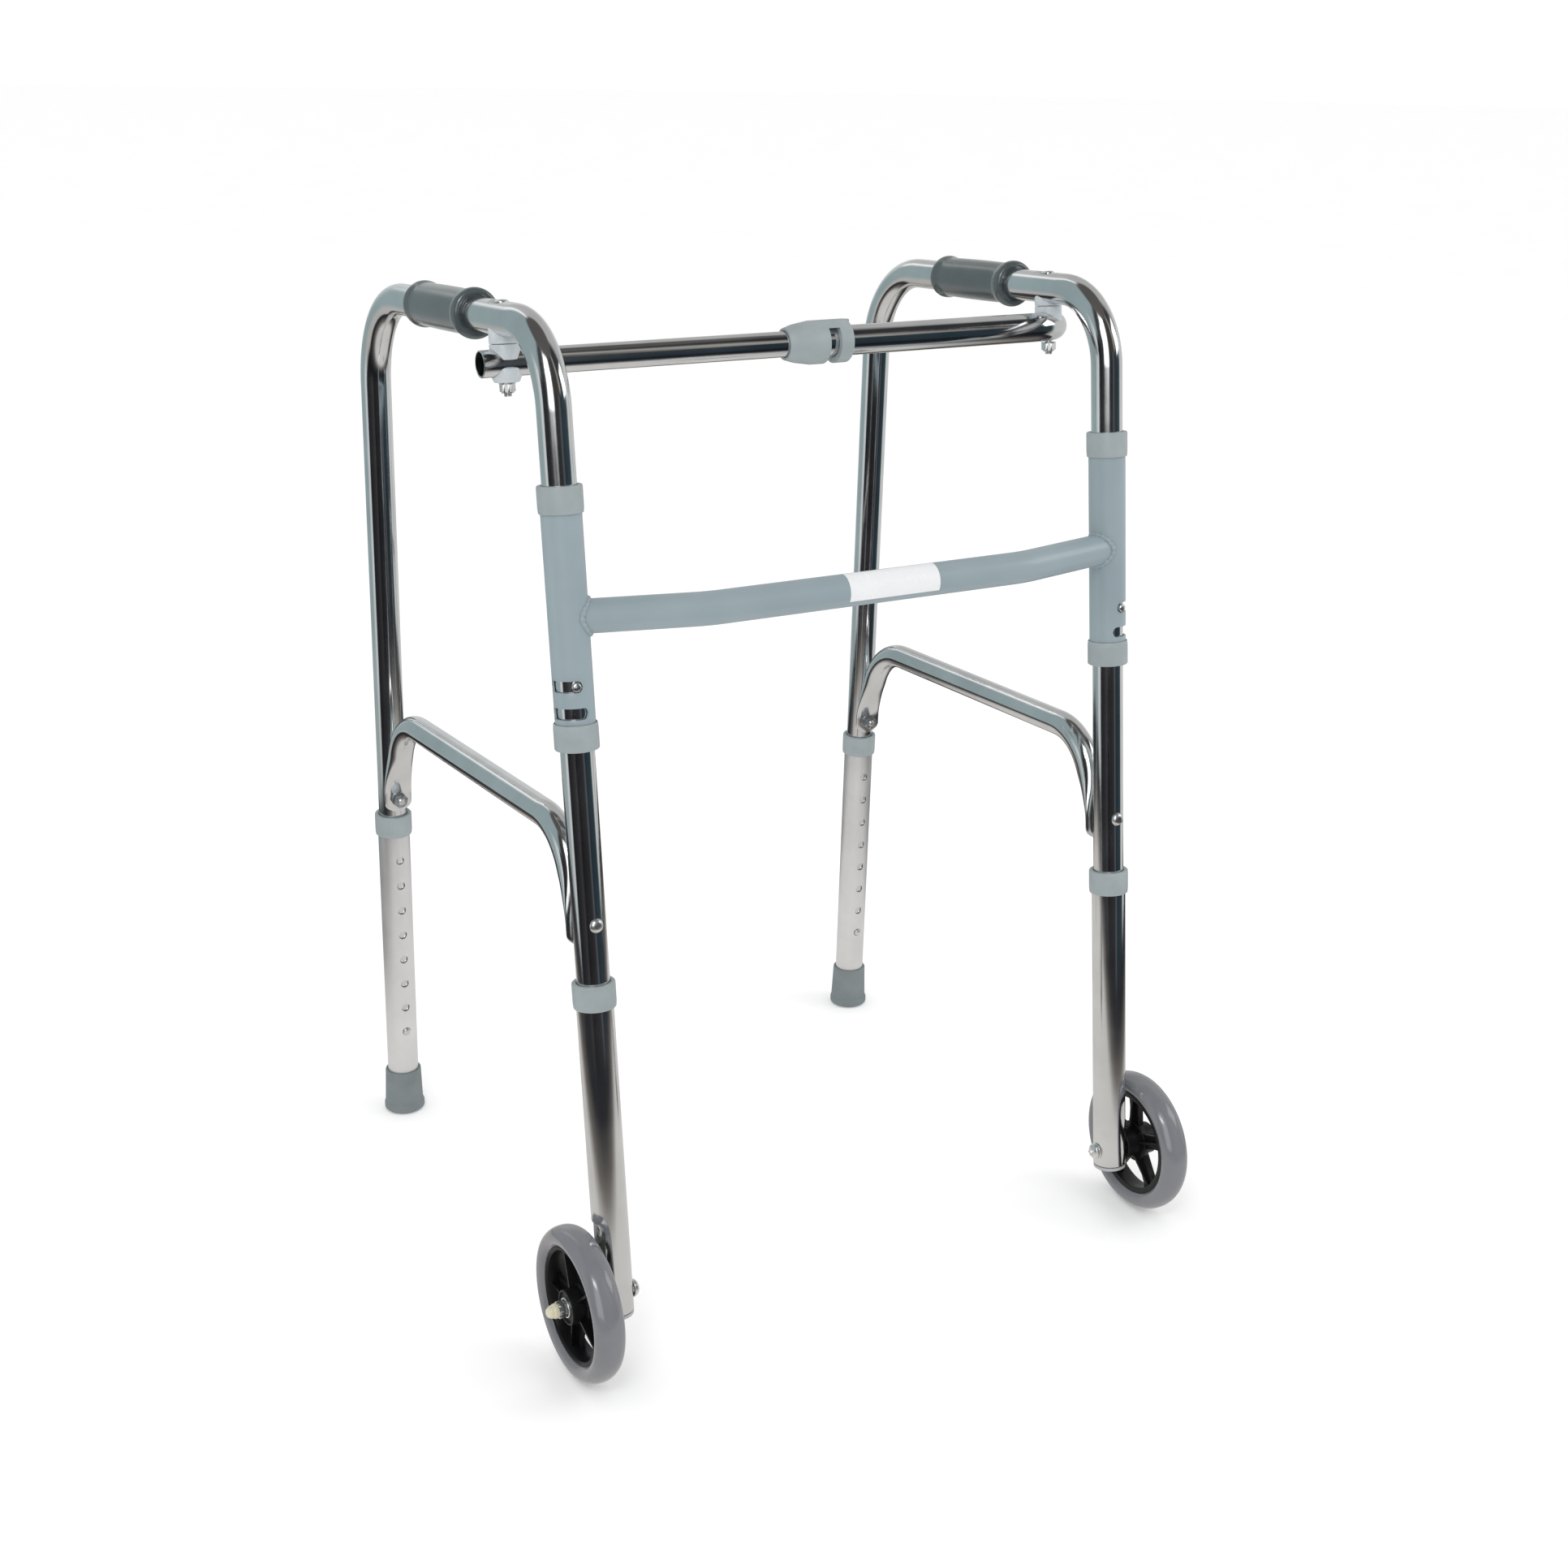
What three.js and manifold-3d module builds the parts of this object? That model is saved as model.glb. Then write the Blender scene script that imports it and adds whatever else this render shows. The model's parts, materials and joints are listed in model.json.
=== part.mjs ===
// A folding walking frame with two front wheels. Millimetres, +Z up, the front is -Y.
// Right and left are the user's: the user stands at +Y and faces -Y, so right is -X.
import * as THREE from 'three';
import { mergeVertices } from 'three/addons/utils/BufferGeometryUtils.js';
import Module from 'manifold-3d';

const wasm = await Module();
wasm.setup();

// ---------- driving dimensions ----------
const DEG = THREE.MathUtils.DEG2RAD;
const GAP = 0.35; // seating and running clearance

// side frame, seen from the side: y runs back from where the front leg meets the floor
const LEG_X = 241; // front leg axis, from the middle of the walker
const FLOOR_DEPTH = 477.4; // front leg axis to rear leg axis, on the floor
const FRONT_LEAN = 6.7 * DEG;
const REAR_LEAN = 1.88 * DEG;
const TOE_OUT = 1.2 * DEG; // each side frame opens towards the back
const CENTRE_Y = -220.7; // front leg axes on the floor, about the middle of the walker
const HANDLE_Z = 800.7; // handle line, above the front leg's floor point
const HANDLE_DROP = 2.86 * DEG; // handle and brace both fall towards the back
const FRONT_BEND = 60;
const REAR_BEND = 80;
const TUBE = { outer: 12.7, inner: 11.45 };
const TUBE_END = { front: 138, rear: 72 };

const GRIP = { from: 222, to: 334, body: 17, frontCollar: 19.2, rearCollar: 18, collar: 10 };
const BRACE = { z: 432, outer: 11, inner: 9.8, frontBend: 50, rearBend: 45, strap: 8, strapWidth: 24 };
const BRACE_FRONT = { pin: 365.5, roundEnd: 386, strapEnd: 342 };
const BRACE_REAR = { pin: 328, roundEnd: 356, strapEnd: 315 };

// front frame
const SLEEVE = { outer: 15, inner: 13.3, bottom: 517, top: 668, hidden: 10 };
const BUSH = { outer: 16.6, bore: 13.15, height: 20 };
const SLOT = { height: 8.6, pitch: 20, upper: 545.3, start: -5, lowerStart: -20, end: 109 };
const CROSSBAR = { z: 593.6, outer: 12.7, inner: 11.2, bow: 23, bendX: 140, bend: 100 };

// telescopic legs
const LEG = { outer: 14.3, inner: 13.2 };
const COLLAR = { outer: 16.6, bore: 13.15, height: 20 };
const FRONT_LEG = { top: 314, bottom: 49, holes: 6, firstHole: 158 };
const REAR_LEG = { top: 304, bottom: 8, holes: 8, firstHole: 87.8 };
const HOLE = { pitch: 25.4, radius: 4.2, sides: 6 };
const BUTTON = { radius: 3.5, bore: 4, tilt: 14 * DEG, leafDepth: 10.4, leaf: 1, leafWidth: 8, leafLength: 34 };
const FLAT = { offset: 9.5, wall: 1.2, top: 124 }; // pressed outboard face of the wheel leg
const FOOT = { bottom: 19, top: 16.6, height: 42.4, sole: 7.5 };

// wheels
const WHEEL = { radius: 62.5, offset: 30, width: 25, bead: 47, rimInner: 41, rimWidth: 20 };
const HUB = { boss: 14, bossIn: 18.5, bossOut: 12, spokes: 5, spokeWidth: 14, web: 5, bore: 9.35 };
const AXLE = { radius: 4, bore: 4.5, head: 7, headHeight: 4.5, nut: 6.5, shoulder: 49.5, tip: 52, end: 58.5 };

// top bar, in the plane square to the front legs
const PIVOT = { reach: 81.1, bar: 775.3, handle: 807, bolt: 3, hole: 3.4, disc: 11.2 };
const GROOVE = { bottom: 789, right: 791, left: 790 };
const INNER_BAR = { outer: 10, inner: 8.7, from: -20, to: 304.7 };
const OUTER_BAR = { outer: 11.8, inner: 10.5, from: 264.7, straight: 465, bend: 40, turn: 57 * DEG };
const LATCH = { from: 230.7, taper: 252.7, window: 264.4, ring: 273.6, to: 285.3, outer: 17, nose: 12.6 };
const BAR_SLUG = { from: 268, to: 290, radius: 8.2 };

// ---------- geometry helpers ----------
const vec = (x, y, z) => new THREE.Vector3(x, y, z);
const X = vec(1, 0, 0);
const Y = vec(0, 1, 0);
const Z = vec(0, 0, 1);

// merges shared corners, drops the empty triangles of poles, and keeps positions only
function closed(geometry) {
  const bare = new THREE.BufferGeometry();
  bare.setAttribute('position', geometry.getAttribute('position').clone());
  if (geometry.index) bare.setIndex(geometry.index.clone());
  const merged = mergeVertices(bare, 1e-3);
  const kept = [];
  for (let i = 0; i < merged.index.count; i += 3) {
    const [a, b, c] = [0, 1, 2].map((k) => merged.index.getX(i + k));
    if (a !== b && b !== c && a !== c) kept.push(a, b, c);
  }
  merged.setIndex(kept);
  return merged;
}

function solid(geometry) {
  const shape = closed(geometry);
  return new wasm.Manifold(new wasm.Mesh({
    numProp: 3,
    vertProperties: new Float32Array(shape.getAttribute('position').array),
    triVerts: new Uint32Array(shape.index.array),
  }));
}

function fromSolid(body) {
  const data = body.getMesh();
  const geometry = new THREE.BufferGeometry();
  geometry.setAttribute('position', new THREE.BufferAttribute(new Float32Array(data.vertProperties), 3));
  geometry.setIndex([...data.triVerts]);
  return geometry;
}

const cut = (geometry, tools) =>
  fromSolid(tools.reduce((body, tool) => body.subtract(solid(tool)), solid(geometry)));
const join = (geometries) =>
  fromSolid(geometries.map(solid).reduce((body, other) => body.add(other)));

function polygon(radius, sides) {
  return Array.from({ length: sides }, (_, i) => {
    const angle = (2 * Math.PI * (i + 0.5)) / sides;
    return new THREE.Vector2(radius * Math.cos(angle), radius * Math.sin(angle));
  });
}

function annulus(outer, inner, sides) {
  const shape = new THREE.Shape(polygon(outer, sides));
  if (inner) shape.holes.push(new THREE.Path(polygon(inner, sides)));
  return shape;
}

// a path that is only sampled at its stations: both ends, and along each bend
class RoutedPath extends THREE.Curve {
  constructor(stations) {
    super();
    this.stations = stations;
  }

  station(u) {
    return this.stations[Math.round(u * (this.stations.length - 1))];
  }

  getPointAt(u) {
    return this.station(u).point.clone();
  }

  getTangentAt(u) {
    return this.station(u).tangent.clone();
  }
}

function route(corners, radii, step = 22 * DEG) {
  const heading = (i) => corners[i + 1].clone().sub(corners[i]).normalize();
  const stations = [{ point: corners[0], tangent: heading(0) }];
  radii.forEach((radius, i) => {
    const into = heading(i);
    const out = heading(i + 1);
    const angle = into.angleTo(out);
    const start = corners[i + 1].clone().addScaledVector(into, -radius * Math.tan(angle / 2));
    const inward = out.clone().addScaledVector(into, -into.dot(out)).normalize();
    const steps = Math.ceil(angle / step);
    for (let k = 0; k <= steps; k += 1) {
      const turn = (angle * k) / steps;
      const point = start.clone().addScaledVector(into, radius * Math.sin(turn));
      point.addScaledVector(inward, radius * (1 - Math.cos(turn)));
      const tangent = into.clone().multiplyScalar(Math.cos(turn)).addScaledVector(inward, Math.sin(turn));
      stations.push({ point, tangent });
    }
  });
  stations.push({ point: corners.at(-1), tangent: heading(corners.length - 2) });
  return new RoutedPath(stations);
}

function sweep(shape, corners, radii = []) {
  const path = route(corners, radii);
  return new THREE.ExtrudeGeometry(shape, {
    steps: path.stations.length - 1,
    extrudePath: path,
    bevelEnabled: false,
  });
}

const pipe = (size, corners, radii = [], sides = 14) =>
  sweep(annulus(size.outer, size.inner, sides), corners, radii);

// a turned piece: profile points are [radius, distance along axis], outside upwards
function turned(profile, from = vec(0, 0, 0), axis = Z, sides = 14) {
  const points = profile.map(([r, d]) => new THREE.Vector2(r, d));
  if (profile[0][0] > 0) points.push(points[0].clone());
  const geometry = new THREE.LatheGeometry(points, sides);
  geometry.applyQuaternion(new THREE.Quaternion().setFromUnitVectors(Y, axis.clone().normalize()));
  return geometry.translate(from.x, from.y, from.z);
}

function rod(radius, from, to, sides = 8) {
  const along = to.clone().sub(from);
  const length = along.length();
  return turned([[0, 0], [radius, 0], [radius, length], [0, length]], from, along, sides);
}

const box = (width, depth, height, centre) =>
  new THREE.BoxGeometry(width, depth, height).translate(centre.x, centre.y, centre.z);

// ---------- side frame lines ----------
const frontAt = (z) => vec(0, z * Math.tan(FRONT_LEAN), z);
const rearAt = (z) => vec(0, FLOOR_DEPTH - z * Math.tan(REAR_LEAN), z);
const frontUp = vec(0, Math.sin(FRONT_LEAN), Math.cos(FRONT_LEAN));
const rearUp = vec(0, -Math.sin(REAR_LEAN), Math.cos(REAR_LEAN));
const frontBack = vec(0, Math.cos(FRONT_LEAN), -Math.sin(FRONT_LEAN)); // square to the leg, backwards
const rearBack = vec(0, Math.cos(REAR_LEAN), Math.sin(REAR_LEAN));
const handleBack = vec(0, Math.cos(HANDLE_DROP), -Math.sin(HANDLE_DROP));
const alongFront = (z) => z / Math.cos(FRONT_LEAN); // height z as a distance up the front leg

// where the line through `point` along `direction` meets the falling line of height z at y = 0
function meetsFallingLine(point, direction, z) {
  const slope = Math.tan(HANDLE_DROP);
  const t = (z - point.z - slope * point.y) / (direction.z + slope * direction.y);
  return point.clone().addScaledVector(direction, t);
}

const handleFront = meetsFallingLine(frontAt(0), frontUp, HANDLE_Z);
const handleRear = meetsFallingLine(rearAt(0), rearUp, HANDLE_Z);

// ---------- materials ----------
const finish = (color, roughness, metalness) =>
  new THREE.MeshStandardMaterial({ color, roughness, metalness });
const ALUMINIUM = finish(0xc9cccd, 0.22, 1);
const SATIN = finish(0xd3d4d4, 0.4, 1);
const PAINT = finish(0x9daaaa, 0.45, 0);
const GREY_PLASTIC = finish(0x8f9898, 0.5, 0);
const PALE_PLASTIC = finish(0xcdd3da, 0.4, 0);
const VINYL = finish(0x6c7476, 0.45, 0);
const RUBBER = finish(0x7a8486, 0.8, 0);
const TYRE = finish(0x84848c, 0.3, 0);
const BLACK = finish(0x141517, 0.4, 0);
const CHROME = finish(0xe2e4e6, 0.12, 1);

function mesh(name, geometry, material) {
  const node = new THREE.Mesh(closed(geometry), material);
  node.name = name;
  return node;
}

// ---------- front frame ----------
// a band cut around the sleeve; angles are measured outboard from the front
function slotTool(side, z, start, end) {
  const at = (angle) => (-90 + side * angle) * DEG;
  const shape = new THREE.Shape();
  const reach = SLEEVE.outer + 3;
  shape.absarc(0, 0, reach, at(start), at(end), side < 0);
  shape.absarc(0, 0, SLEEVE.inner - 3, at(end), at(start), side > 0);
  const tool = new THREE.ExtrudeGeometry(shape, {
    depth: SLOT.height, bevelEnabled: false, curveSegments: 8,
  });
  return tool.translate(0, 0, alongFront(z) - SLOT.height / 2);
}

function sleeve(side) {
  const from = alongFront(SLEEVE.bottom) - SLEEVE.hidden;
  const to = alongFront(SLEEVE.top) + SLEEVE.hidden;
  const tube = pipe(SLEEVE, [vec(0, 0, from), vec(0, 0, to)]);
  return cut(tube, [
    slotTool(side, SLOT.upper, SLOT.start, SLOT.end),
    slotTool(side, SLOT.upper - SLOT.pitch, SLOT.lowerStart, SLOT.end),
  ]);
}

// a plastic end cap: it wraps over a tube end and its lip runs on the tube inside
function endCap(size, tubeOuter, wrap, mouth, direction) {
  const socket = tubeOuter + 1.5 * GAP;
  const floor = wrap + GAP;
  return turned([
    [socket, 0], [size.outer, 0], [size.outer, size.height],
    [size.bore, size.height], [size.bore, floor], [socket, floor],
  ], mouth, direction);
}

function crossbar() {
  const y = CENTRE_Y + CROSSBAR.z * Math.tan(FRONT_LEAN);
  const end = (side) => vec(side * LEG_X, y, CROSSBAR.z);
  const bend = (side) => vec(side * CROSSBAR.bendX, y - CROSSBAR.bow, CROSSBAR.z);
  const bar = pipe(CROSSBAR, [end(-1), bend(-1), bend(1), end(1)], [CROSSBAR.bend, CROSSBAR.bend]);
  const copes = [-1, 1].map((side) => {
    const reach = 40;
    const from = end(side).addScaledVector(frontUp, -reach);
    const to = end(side).addScaledVector(frontUp, reach);
    return rod(SLEEVE.outer + GAP, from, to, 20);
  });
  return fromSolid(keepMiddle(solid(bar), copes));
}

// subtracting the copes leaves slivers inside the sleeves: only the long middle piece is kept
function keepMiddle(body, tools) {
  const rest = tools.reduce((left, tool) => left.subtract(solid(tool)), body);
  return rest.decompose().sort((a, b) => b.volume() - a.volume())[0];
}

// ---------- side frame pieces ----------
function buttonDirection(side) {
  const angle = (-90 * DEG) + side * BUTTON.tilt;
  return vec(Math.cos(angle), 0, 0).addScaledVector(frontBack, Math.sin(angle));
}

const pivotOnHandle = () => vec(0, 0, 0)
  .addScaledVector(frontBack, PIVOT.reach).addScaledVector(frontUp, PIVOT.handle);

function sideTube(side) {
  const corners = [frontAt(TUBE_END.front), handleFront, handleRear, rearAt(TUBE_END.rear)];
  const through = (centre, direction, radius, from, to) => rod(
    radius, centre.clone().addScaledVector(direction, from), centre.clone().addScaledVector(direction, to),
  );
  const half = TUBE.outer + 3;
  return cut(pipe(TUBE, corners, [FRONT_BEND, REAR_BEND]), [
    through(pivotOnHandle(), frontUp, PIVOT.hole, -half, half),
    through(frontAt(BRACE_FRONT.pin), frontBack, PIVOT.hole, -half, half),
    through(rearAt(BRACE_REAR.pin), rearBack, PIVOT.hole, -half, half),
    through(frontAt(SLOT.upper), buttonDirection(side), BUTTON.bore, 5, half),
    through(frontAt(FRONT_LEG.firstHole), frontBack, BUTTON.bore, 5, half),
    through(rearAt(REAR_LEG.firstHole), rearBack, BUTTON.bore, -half, -5),
  ]);
}

function handGrip() {
  const length = (GRIP.to - GRIP.from) / Math.cos(HANDLE_DROP);
  const start = vec(0, GRIP.from, HANDLE_Z - GRIP.from * Math.tan(HANDLE_DROP));
  const bore = TUBE.outer + 1.5 * GAP;
  const round = 2.5;
  return turned([
    [bore, 0], [GRIP.frontCollar - round, 0], [GRIP.frontCollar, round],
    [GRIP.frontCollar, GRIP.collar - round], [GRIP.body, GRIP.collar + round],
    [GRIP.body, length - GRIP.collar - round], [GRIP.rearCollar, length - GRIP.collar + round],
    [GRIP.rearCollar, length - round], [GRIP.rearCollar - round, length], [bore, length],
  ], start, handleBack);
}

// the flattened end of the brace, lying against a leg: a thick strap with a round toe
function strap(pin, up, away, toe, heel) {
  const half = BRACE.strapWidth / 2;
  const outline = new THREE.Shape();
  outline.moveTo(-half, heel);
  outline.lineTo(-half, toe + half * 0.6);
  outline.quadraticCurveTo(-half, toe, -half * 0.4, toe);
  outline.lineTo(half * 0.4, toe);
  outline.quadraticCurveTo(half, toe, half, toe + half * 0.6);
  outline.lineTo(half, heel);
  const geometry = new THREE.ExtrudeGeometry(outline, {
    depth: BRACE.strap, bevelEnabled: false, curveSegments: 4,
  });
  // the outline's x runs across the leg, its y up the leg, its depth away from the leg
  const across = up.clone().cross(away);
  geometry.applyMatrix4(new THREE.Matrix4().makeBasis(across, up, away));
  const seat = pin.clone().addScaledVector(away, TUBE.outer + GAP);
  return geometry.translate(seat.x, seat.y, seat.z);
}

function sideBrace() {
  const standOff = TUBE.outer + GAP + BRACE.outer;
  const frontStart = frontAt(BRACE_FRONT.roundEnd).addScaledVector(frontBack, standOff);
  const rearAway = rearBack.clone().negate();
  const rearStart = rearAt(BRACE_REAR.roundEnd).addScaledVector(rearAway, standOff);
  const tube = pipe(BRACE, [
    frontStart,
    meetsFallingLine(frontStart, frontUp, BRACE.z),
    meetsFallingLine(rearStart, rearUp, BRACE.z),
    rearStart,
  ], [BRACE.frontBend, BRACE.rearBend], 10);
  const overlap = 6;
  const ends = [
    [frontAt(BRACE_FRONT.pin), frontUp, frontBack, BRACE_FRONT],
    [rearAt(BRACE_REAR.pin), rearUp, rearAway, BRACE_REAR],
  ];
  const straps = ends.map(([pin, up, away, z]) =>
    strap(pin, up, away, z.strapEnd - z.pin, z.roundEnd - z.pin + overlap));
  const holes = ends.map(([pin, , away]) =>
    rod(PIVOT.hole, pin.clone(), pin.clone().addScaledVector(away, standOff + 20)));
  return cut(join([tube, ...straps]), holes);
}

// a headed pin through a leg and the brace's strap; the far end is spread or carries a nut
function bracePin(pin, away, headOnLeg, tail) {
  const legFace = TUBE.outer + GAP;
  const strapFace = legFace + BRACE.strap + GAP;
  const shank = PIVOT.bolt;
  return turned([
    [0, -legFace - headOnLeg.height], [headOnLeg.radius * 0.6, -legFace - headOnLeg.height * 0.85],
    [headOnLeg.radius, -legFace], [shank, -legFace], [shank, strapFace],
    [tail.radius, strapFace], [tail.radius, strapFace + tail.height], [shank, strapFace + tail.height],
    [shank, strapFace + tail.height + tail.thread], [0, strapFace + tail.height + tail.thread],
  ], pin, away, tail.sides);
}

// the button pokes out through the tube; a leaf of its spring clip lies inside
function springButton(centre, direction, up, top) {
  const pin = turned([
    [0, BUTTON.leafDepth - BUTTON.leaf / 2], [BUTTON.radius, BUTTON.leafDepth - BUTTON.leaf / 2],
    [BUTTON.radius, top - 2.4], [BUTTON.radius * 0.7, top - 0.6], [0, top],
  ], centre, direction, 12);
  const across = up.clone().cross(direction).normalize();
  const leaf = new THREE.BoxGeometry(BUTTON.leafWidth, BUTTON.leafLength, BUTTON.leaf);
  leaf.translate(0, BUTTON.leafLength / 2 - 6, 0);
  leaf.applyMatrix4(new THREE.Matrix4().makeBasis(across, up.clone(), direction.clone()));
  const seat = centre.clone().addScaledVector(direction, BUTTON.leafDepth - BUTTON.leaf / 2);
  leaf.translate(seat.x, seat.y, seat.z);
  return join([pin, leaf]);
}

// ---------- telescopic legs ----------
// a bar of the leg's D-shaped section, from one height to another, up the leg's own axis
function flatBar(radius, flat, side, from, to) {
  const round = rod(radius, vec(0, 0, from), vec(0, 0, to), 16);
  const beyond = box(40, 60, to - from + 2, vec(side * (flat + 20), 0, (from + to) / 2));
  return cut(round, [beyond]);
}

function frontLegTube(side) {
  const bottom = alongFront(FRONT_LEG.bottom);
  const top = alongFront(FRONT_LEG.top);
  const flatTop = alongFront(FLAT.top);
  const shoulder = 6;
  const outside = rod(LEG.outer, vec(0, 0, bottom), vec(0, 0, top), 16);
  const middle = vec(side * (FLAT.offset + 20), 0, (flatTop + bottom) / 2 - 5);
  const pressed = box(40, 60, flatTop - bottom + 10, middle);
  const inside = rod(LEG.inner, vec(0, 0, flatTop + shoulder), vec(0, 0, top + 5), 16);
  const insideFlat = flatBar(
    LEG.inner, FLAT.offset - FLAT.wall, side, bottom - 5, flatTop + shoulder + 1,
  );
  const axle = alongFront(WHEEL.radius);
  const holes = Array.from({ length: FRONT_LEG.holes }, (_, i) => {
    const height = alongFront(FRONT_LEG.firstHole) + i * HOLE.pitch;
    return rod(HOLE.radius, vec(0, 5, height), vec(0, 20, height), HOLE.sides);
  });
  holes.push(rod(AXLE.bore, vec(-20, 0, axle), vec(20, 0, axle)));
  return cut(outside, [pressed, inside, insideFlat, ...holes]);
}

function rearLegTube() {
  const tube = pipe(LEG, [rearAt(REAR_LEG.bottom), rearAt(REAR_LEG.top)]);
  const holes = Array.from({ length: REAR_LEG.holes }, (_, i) => {
    const centre = rearAt(REAR_LEG.firstHole).addScaledVector(rearUp, i * HOLE.pitch);
    const out = centre.clone().addScaledVector(rearBack, -20);
    return rod(HOLE.radius, out, centre.addScaledVector(rearBack, -5), HOLE.sides);
  });
  return cut(tube, holes);
}

function foot() {
  const centre = rearAt(FOOT.height / 2);
  const outside = turned([
    [0, 0], [FOOT.bottom, 0], [FOOT.bottom, 6], [FOOT.bottom - 1.3, 10],
    [FOOT.top, FOOT.height], [0, FOOT.height],
  ], vec(0, centre.y, 0));
  return cut(outside, [rod(LEG.outer + GAP, rearAt(FOOT.sole), rearAt(FOOT.height + 5), 16)]);
}

function wheelPlug(side) {
  const end = alongFront(FRONT_LEG.bottom) - GAP;
  const rim = flatBar(LEG.outer, FLAT.offset, side, end - 3.5, end);
  const stem = flatBar(LEG.inner - GAP, FLAT.offset - FLAT.wall - GAP, side, end - 1, end + 8);
  return join([rim, stem]);
}

// ---------- wheels, all turned about the axle with outboard along +Z ----------
function tyre() {
  const half = WHEEL.width / 2;
  const r = WHEEL.radius;
  return turned([
    [WHEEL.bead, -WHEEL.rimWidth / 2], [WHEEL.bead + 4, -half], [r - 7, -half], [r - 2, -half * 0.6],
    [r, 0], [r - 2, half * 0.6], [r - 7, half], [WHEEL.bead + 4, half], [WHEEL.bead, WHEEL.rimWidth / 2],
  ], vec(0, 0, 0), Z, 28);
}

function hub() {
  const half = WHEEL.rimWidth / 2;
  const outer = WHEEL.bead - GAP;
  const rim = turned([[WHEEL.rimInner, -half], [outer, -half], [outer, half], [WHEEL.rimInner, half]],
    vec(0, 0, 0), Z, 28);
  const boss = turned([[HUB.bore, -HUB.bossIn], [HUB.boss, -HUB.bossIn], [HUB.boss, HUB.bossOut],
    [HUB.bore, HUB.bossOut]]);
  const reach = (WHEEL.rimInner + HUB.boss) / 2 + 0.5;
  const length = WHEEL.rimInner - HUB.boss + 3;
  const spokes = Array.from({ length: HUB.spokes }, (_, i) => {
    const turn = (2 * Math.PI * i) / HUB.spokes;
    return box(length, HUB.spokeWidth, HUB.web, vec(reach, 0, -2)).rotateZ(turn);
  });
  return join([rim, boss, ...spokes]);
}

const bearing = () => turned([
  [AXLE.bore, -HUB.bossIn + 1], [HUB.bore - GAP, -HUB.bossIn + 1],
  [HUB.bore - GAP, HUB.bossOut + 0.8], [AXLE.bore, HUB.bossOut + 0.8],
]);

// measured from the leg's axis, outboard: head inboard, thread end outboard
function axleBolt() {
  const seat = -LEG.outer - GAP;
  const end = AXLE.tip;
  return turned([
    [0, seat - AXLE.headHeight], [AXLE.head * 0.7, seat - AXLE.headHeight],
    [AXLE.head, seat - AXLE.headHeight + 2], [AXLE.head, seat], [AXLE.radius, seat],
    [AXLE.radius, end], [0, end],
  ]);
}

function axleNut() {
  const seat = WHEEL.offset + HUB.bossOut + 0.8 + GAP;
  const roof = AXLE.tip + GAP;
  const outside = turned([
    [0, seat], [AXLE.nut, seat], [AXLE.nut, AXLE.shoulder], [AXLE.nut - 0.5, AXLE.shoulder + 0.5],
    [AXLE.nut - 0.9, AXLE.end - 4.5], [AXLE.nut * 0.5, AXLE.end - 1], [0, AXLE.end],
  ]);
  return cut(outside, [rod(AXLE.radius + GAP, vec(0, 0, seat - 5), vec(0, 0, roof), 14)]);
}

// ---------- top bar ----------
function pivotSaddle(groove) {
  const top = PIVOT.handle - 4;
  const disc = turned([
    [PIVOT.hole, groove], [PIVOT.disc, groove], [PIVOT.disc, top], [PIVOT.hole, top],
  ], vec(0, PIVOT.reach, 0));
  const handle = handleBack.clone().applyAxisAngle(X, FRONT_LEAN);
  const centre = vec(0, PIVOT.reach, PIVOT.handle);
  const reach = 30;
  return cut(disc, [rod(
    TUBE.outer + GAP,
    centre.clone().addScaledVector(handle, -reach), centre.clone().addScaledVector(handle, reach), 20,
  )]);
}

// a disc on the pivot's axis, hollowed to fit the bar's round; heights are from the bar's axis
function barSeat(pivot, from, to, discRadius, bar) {
  const disc = turned(
    [[PIVOT.hole, from], [discRadius, from], [discRadius, to], [PIVOT.hole, to]], pivot,
  );
  return cut(disc, [bar]);
}

// head on the handle, shank down to `bottom`, turned about the pivot axis
function pivotBolt(bottom) {
  const seat = PIVOT.handle + TUBE.outer + 0.6;
  return turned([
    [0, bottom], [PIVOT.bolt, bottom], [PIVOT.bolt, seat], [6, seat], [6, seat + 0.8], [4.4, seat + 2.2],
    [0, seat + 2.6],
  ], vec(0, PIVOT.reach, 0));
}

// lock nut under the bar; on the opened pivot it carries the lower half of the bolt
function pivotNut(pivot, seat, shankTop) {
  const bore = PIVOT.hole + 0.2;
  const nut = turned([[bore, seat - 6.5], [5.4, seat - 6.5], [5.4, seat], [bore, seat]], pivot, Z, 6);
  if (!shankTop) return nut;
  const at = (height) => vec(pivot.x, pivot.y, pivot.z + height);
  const shank = rod(PIVOT.bolt, at(seat - 10), at(shankTop), 10);
  const thread = rod(bore + 0.3, at(seat - 6.4), at(seat - 0.5));
  return join([nut, shank, thread]);
}

const boltThrough = (x, y) => rod(PIVOT.hole, vec(x, y, -20), vec(x, y, 20));

function innerBar() {
  const tube = pipe(INNER_BAR, [vec(INNER_BAR.from, 0, 0), vec(INNER_BAR.to, 0, 0)]);
  return cut(tube, [boltThrough(0, 0)]);
}

// the outer tube's line: straight, then turned back over the far pivot
function outerBarLine() {
  const reach = OUTER_BAR.bend * Math.tan(OUTER_BAR.turn / 2);
  const corner = vec(OUTER_BAR.straight + reach, 0, 0);
  const away = vec(Math.cos(OUTER_BAR.turn), Math.sin(OUTER_BAR.turn), 0);
  return [vec(OUTER_BAR.from, 0, 0), corner, corner.clone().addScaledVector(away, reach + 1)];
}

function outerBar(farPivot) {
  return cut(pipe(OUTER_BAR, outerBarLine(), [OUTER_BAR.bend]), [boltThrough(farPivot.x, farPivot.y)]);
}

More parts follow.
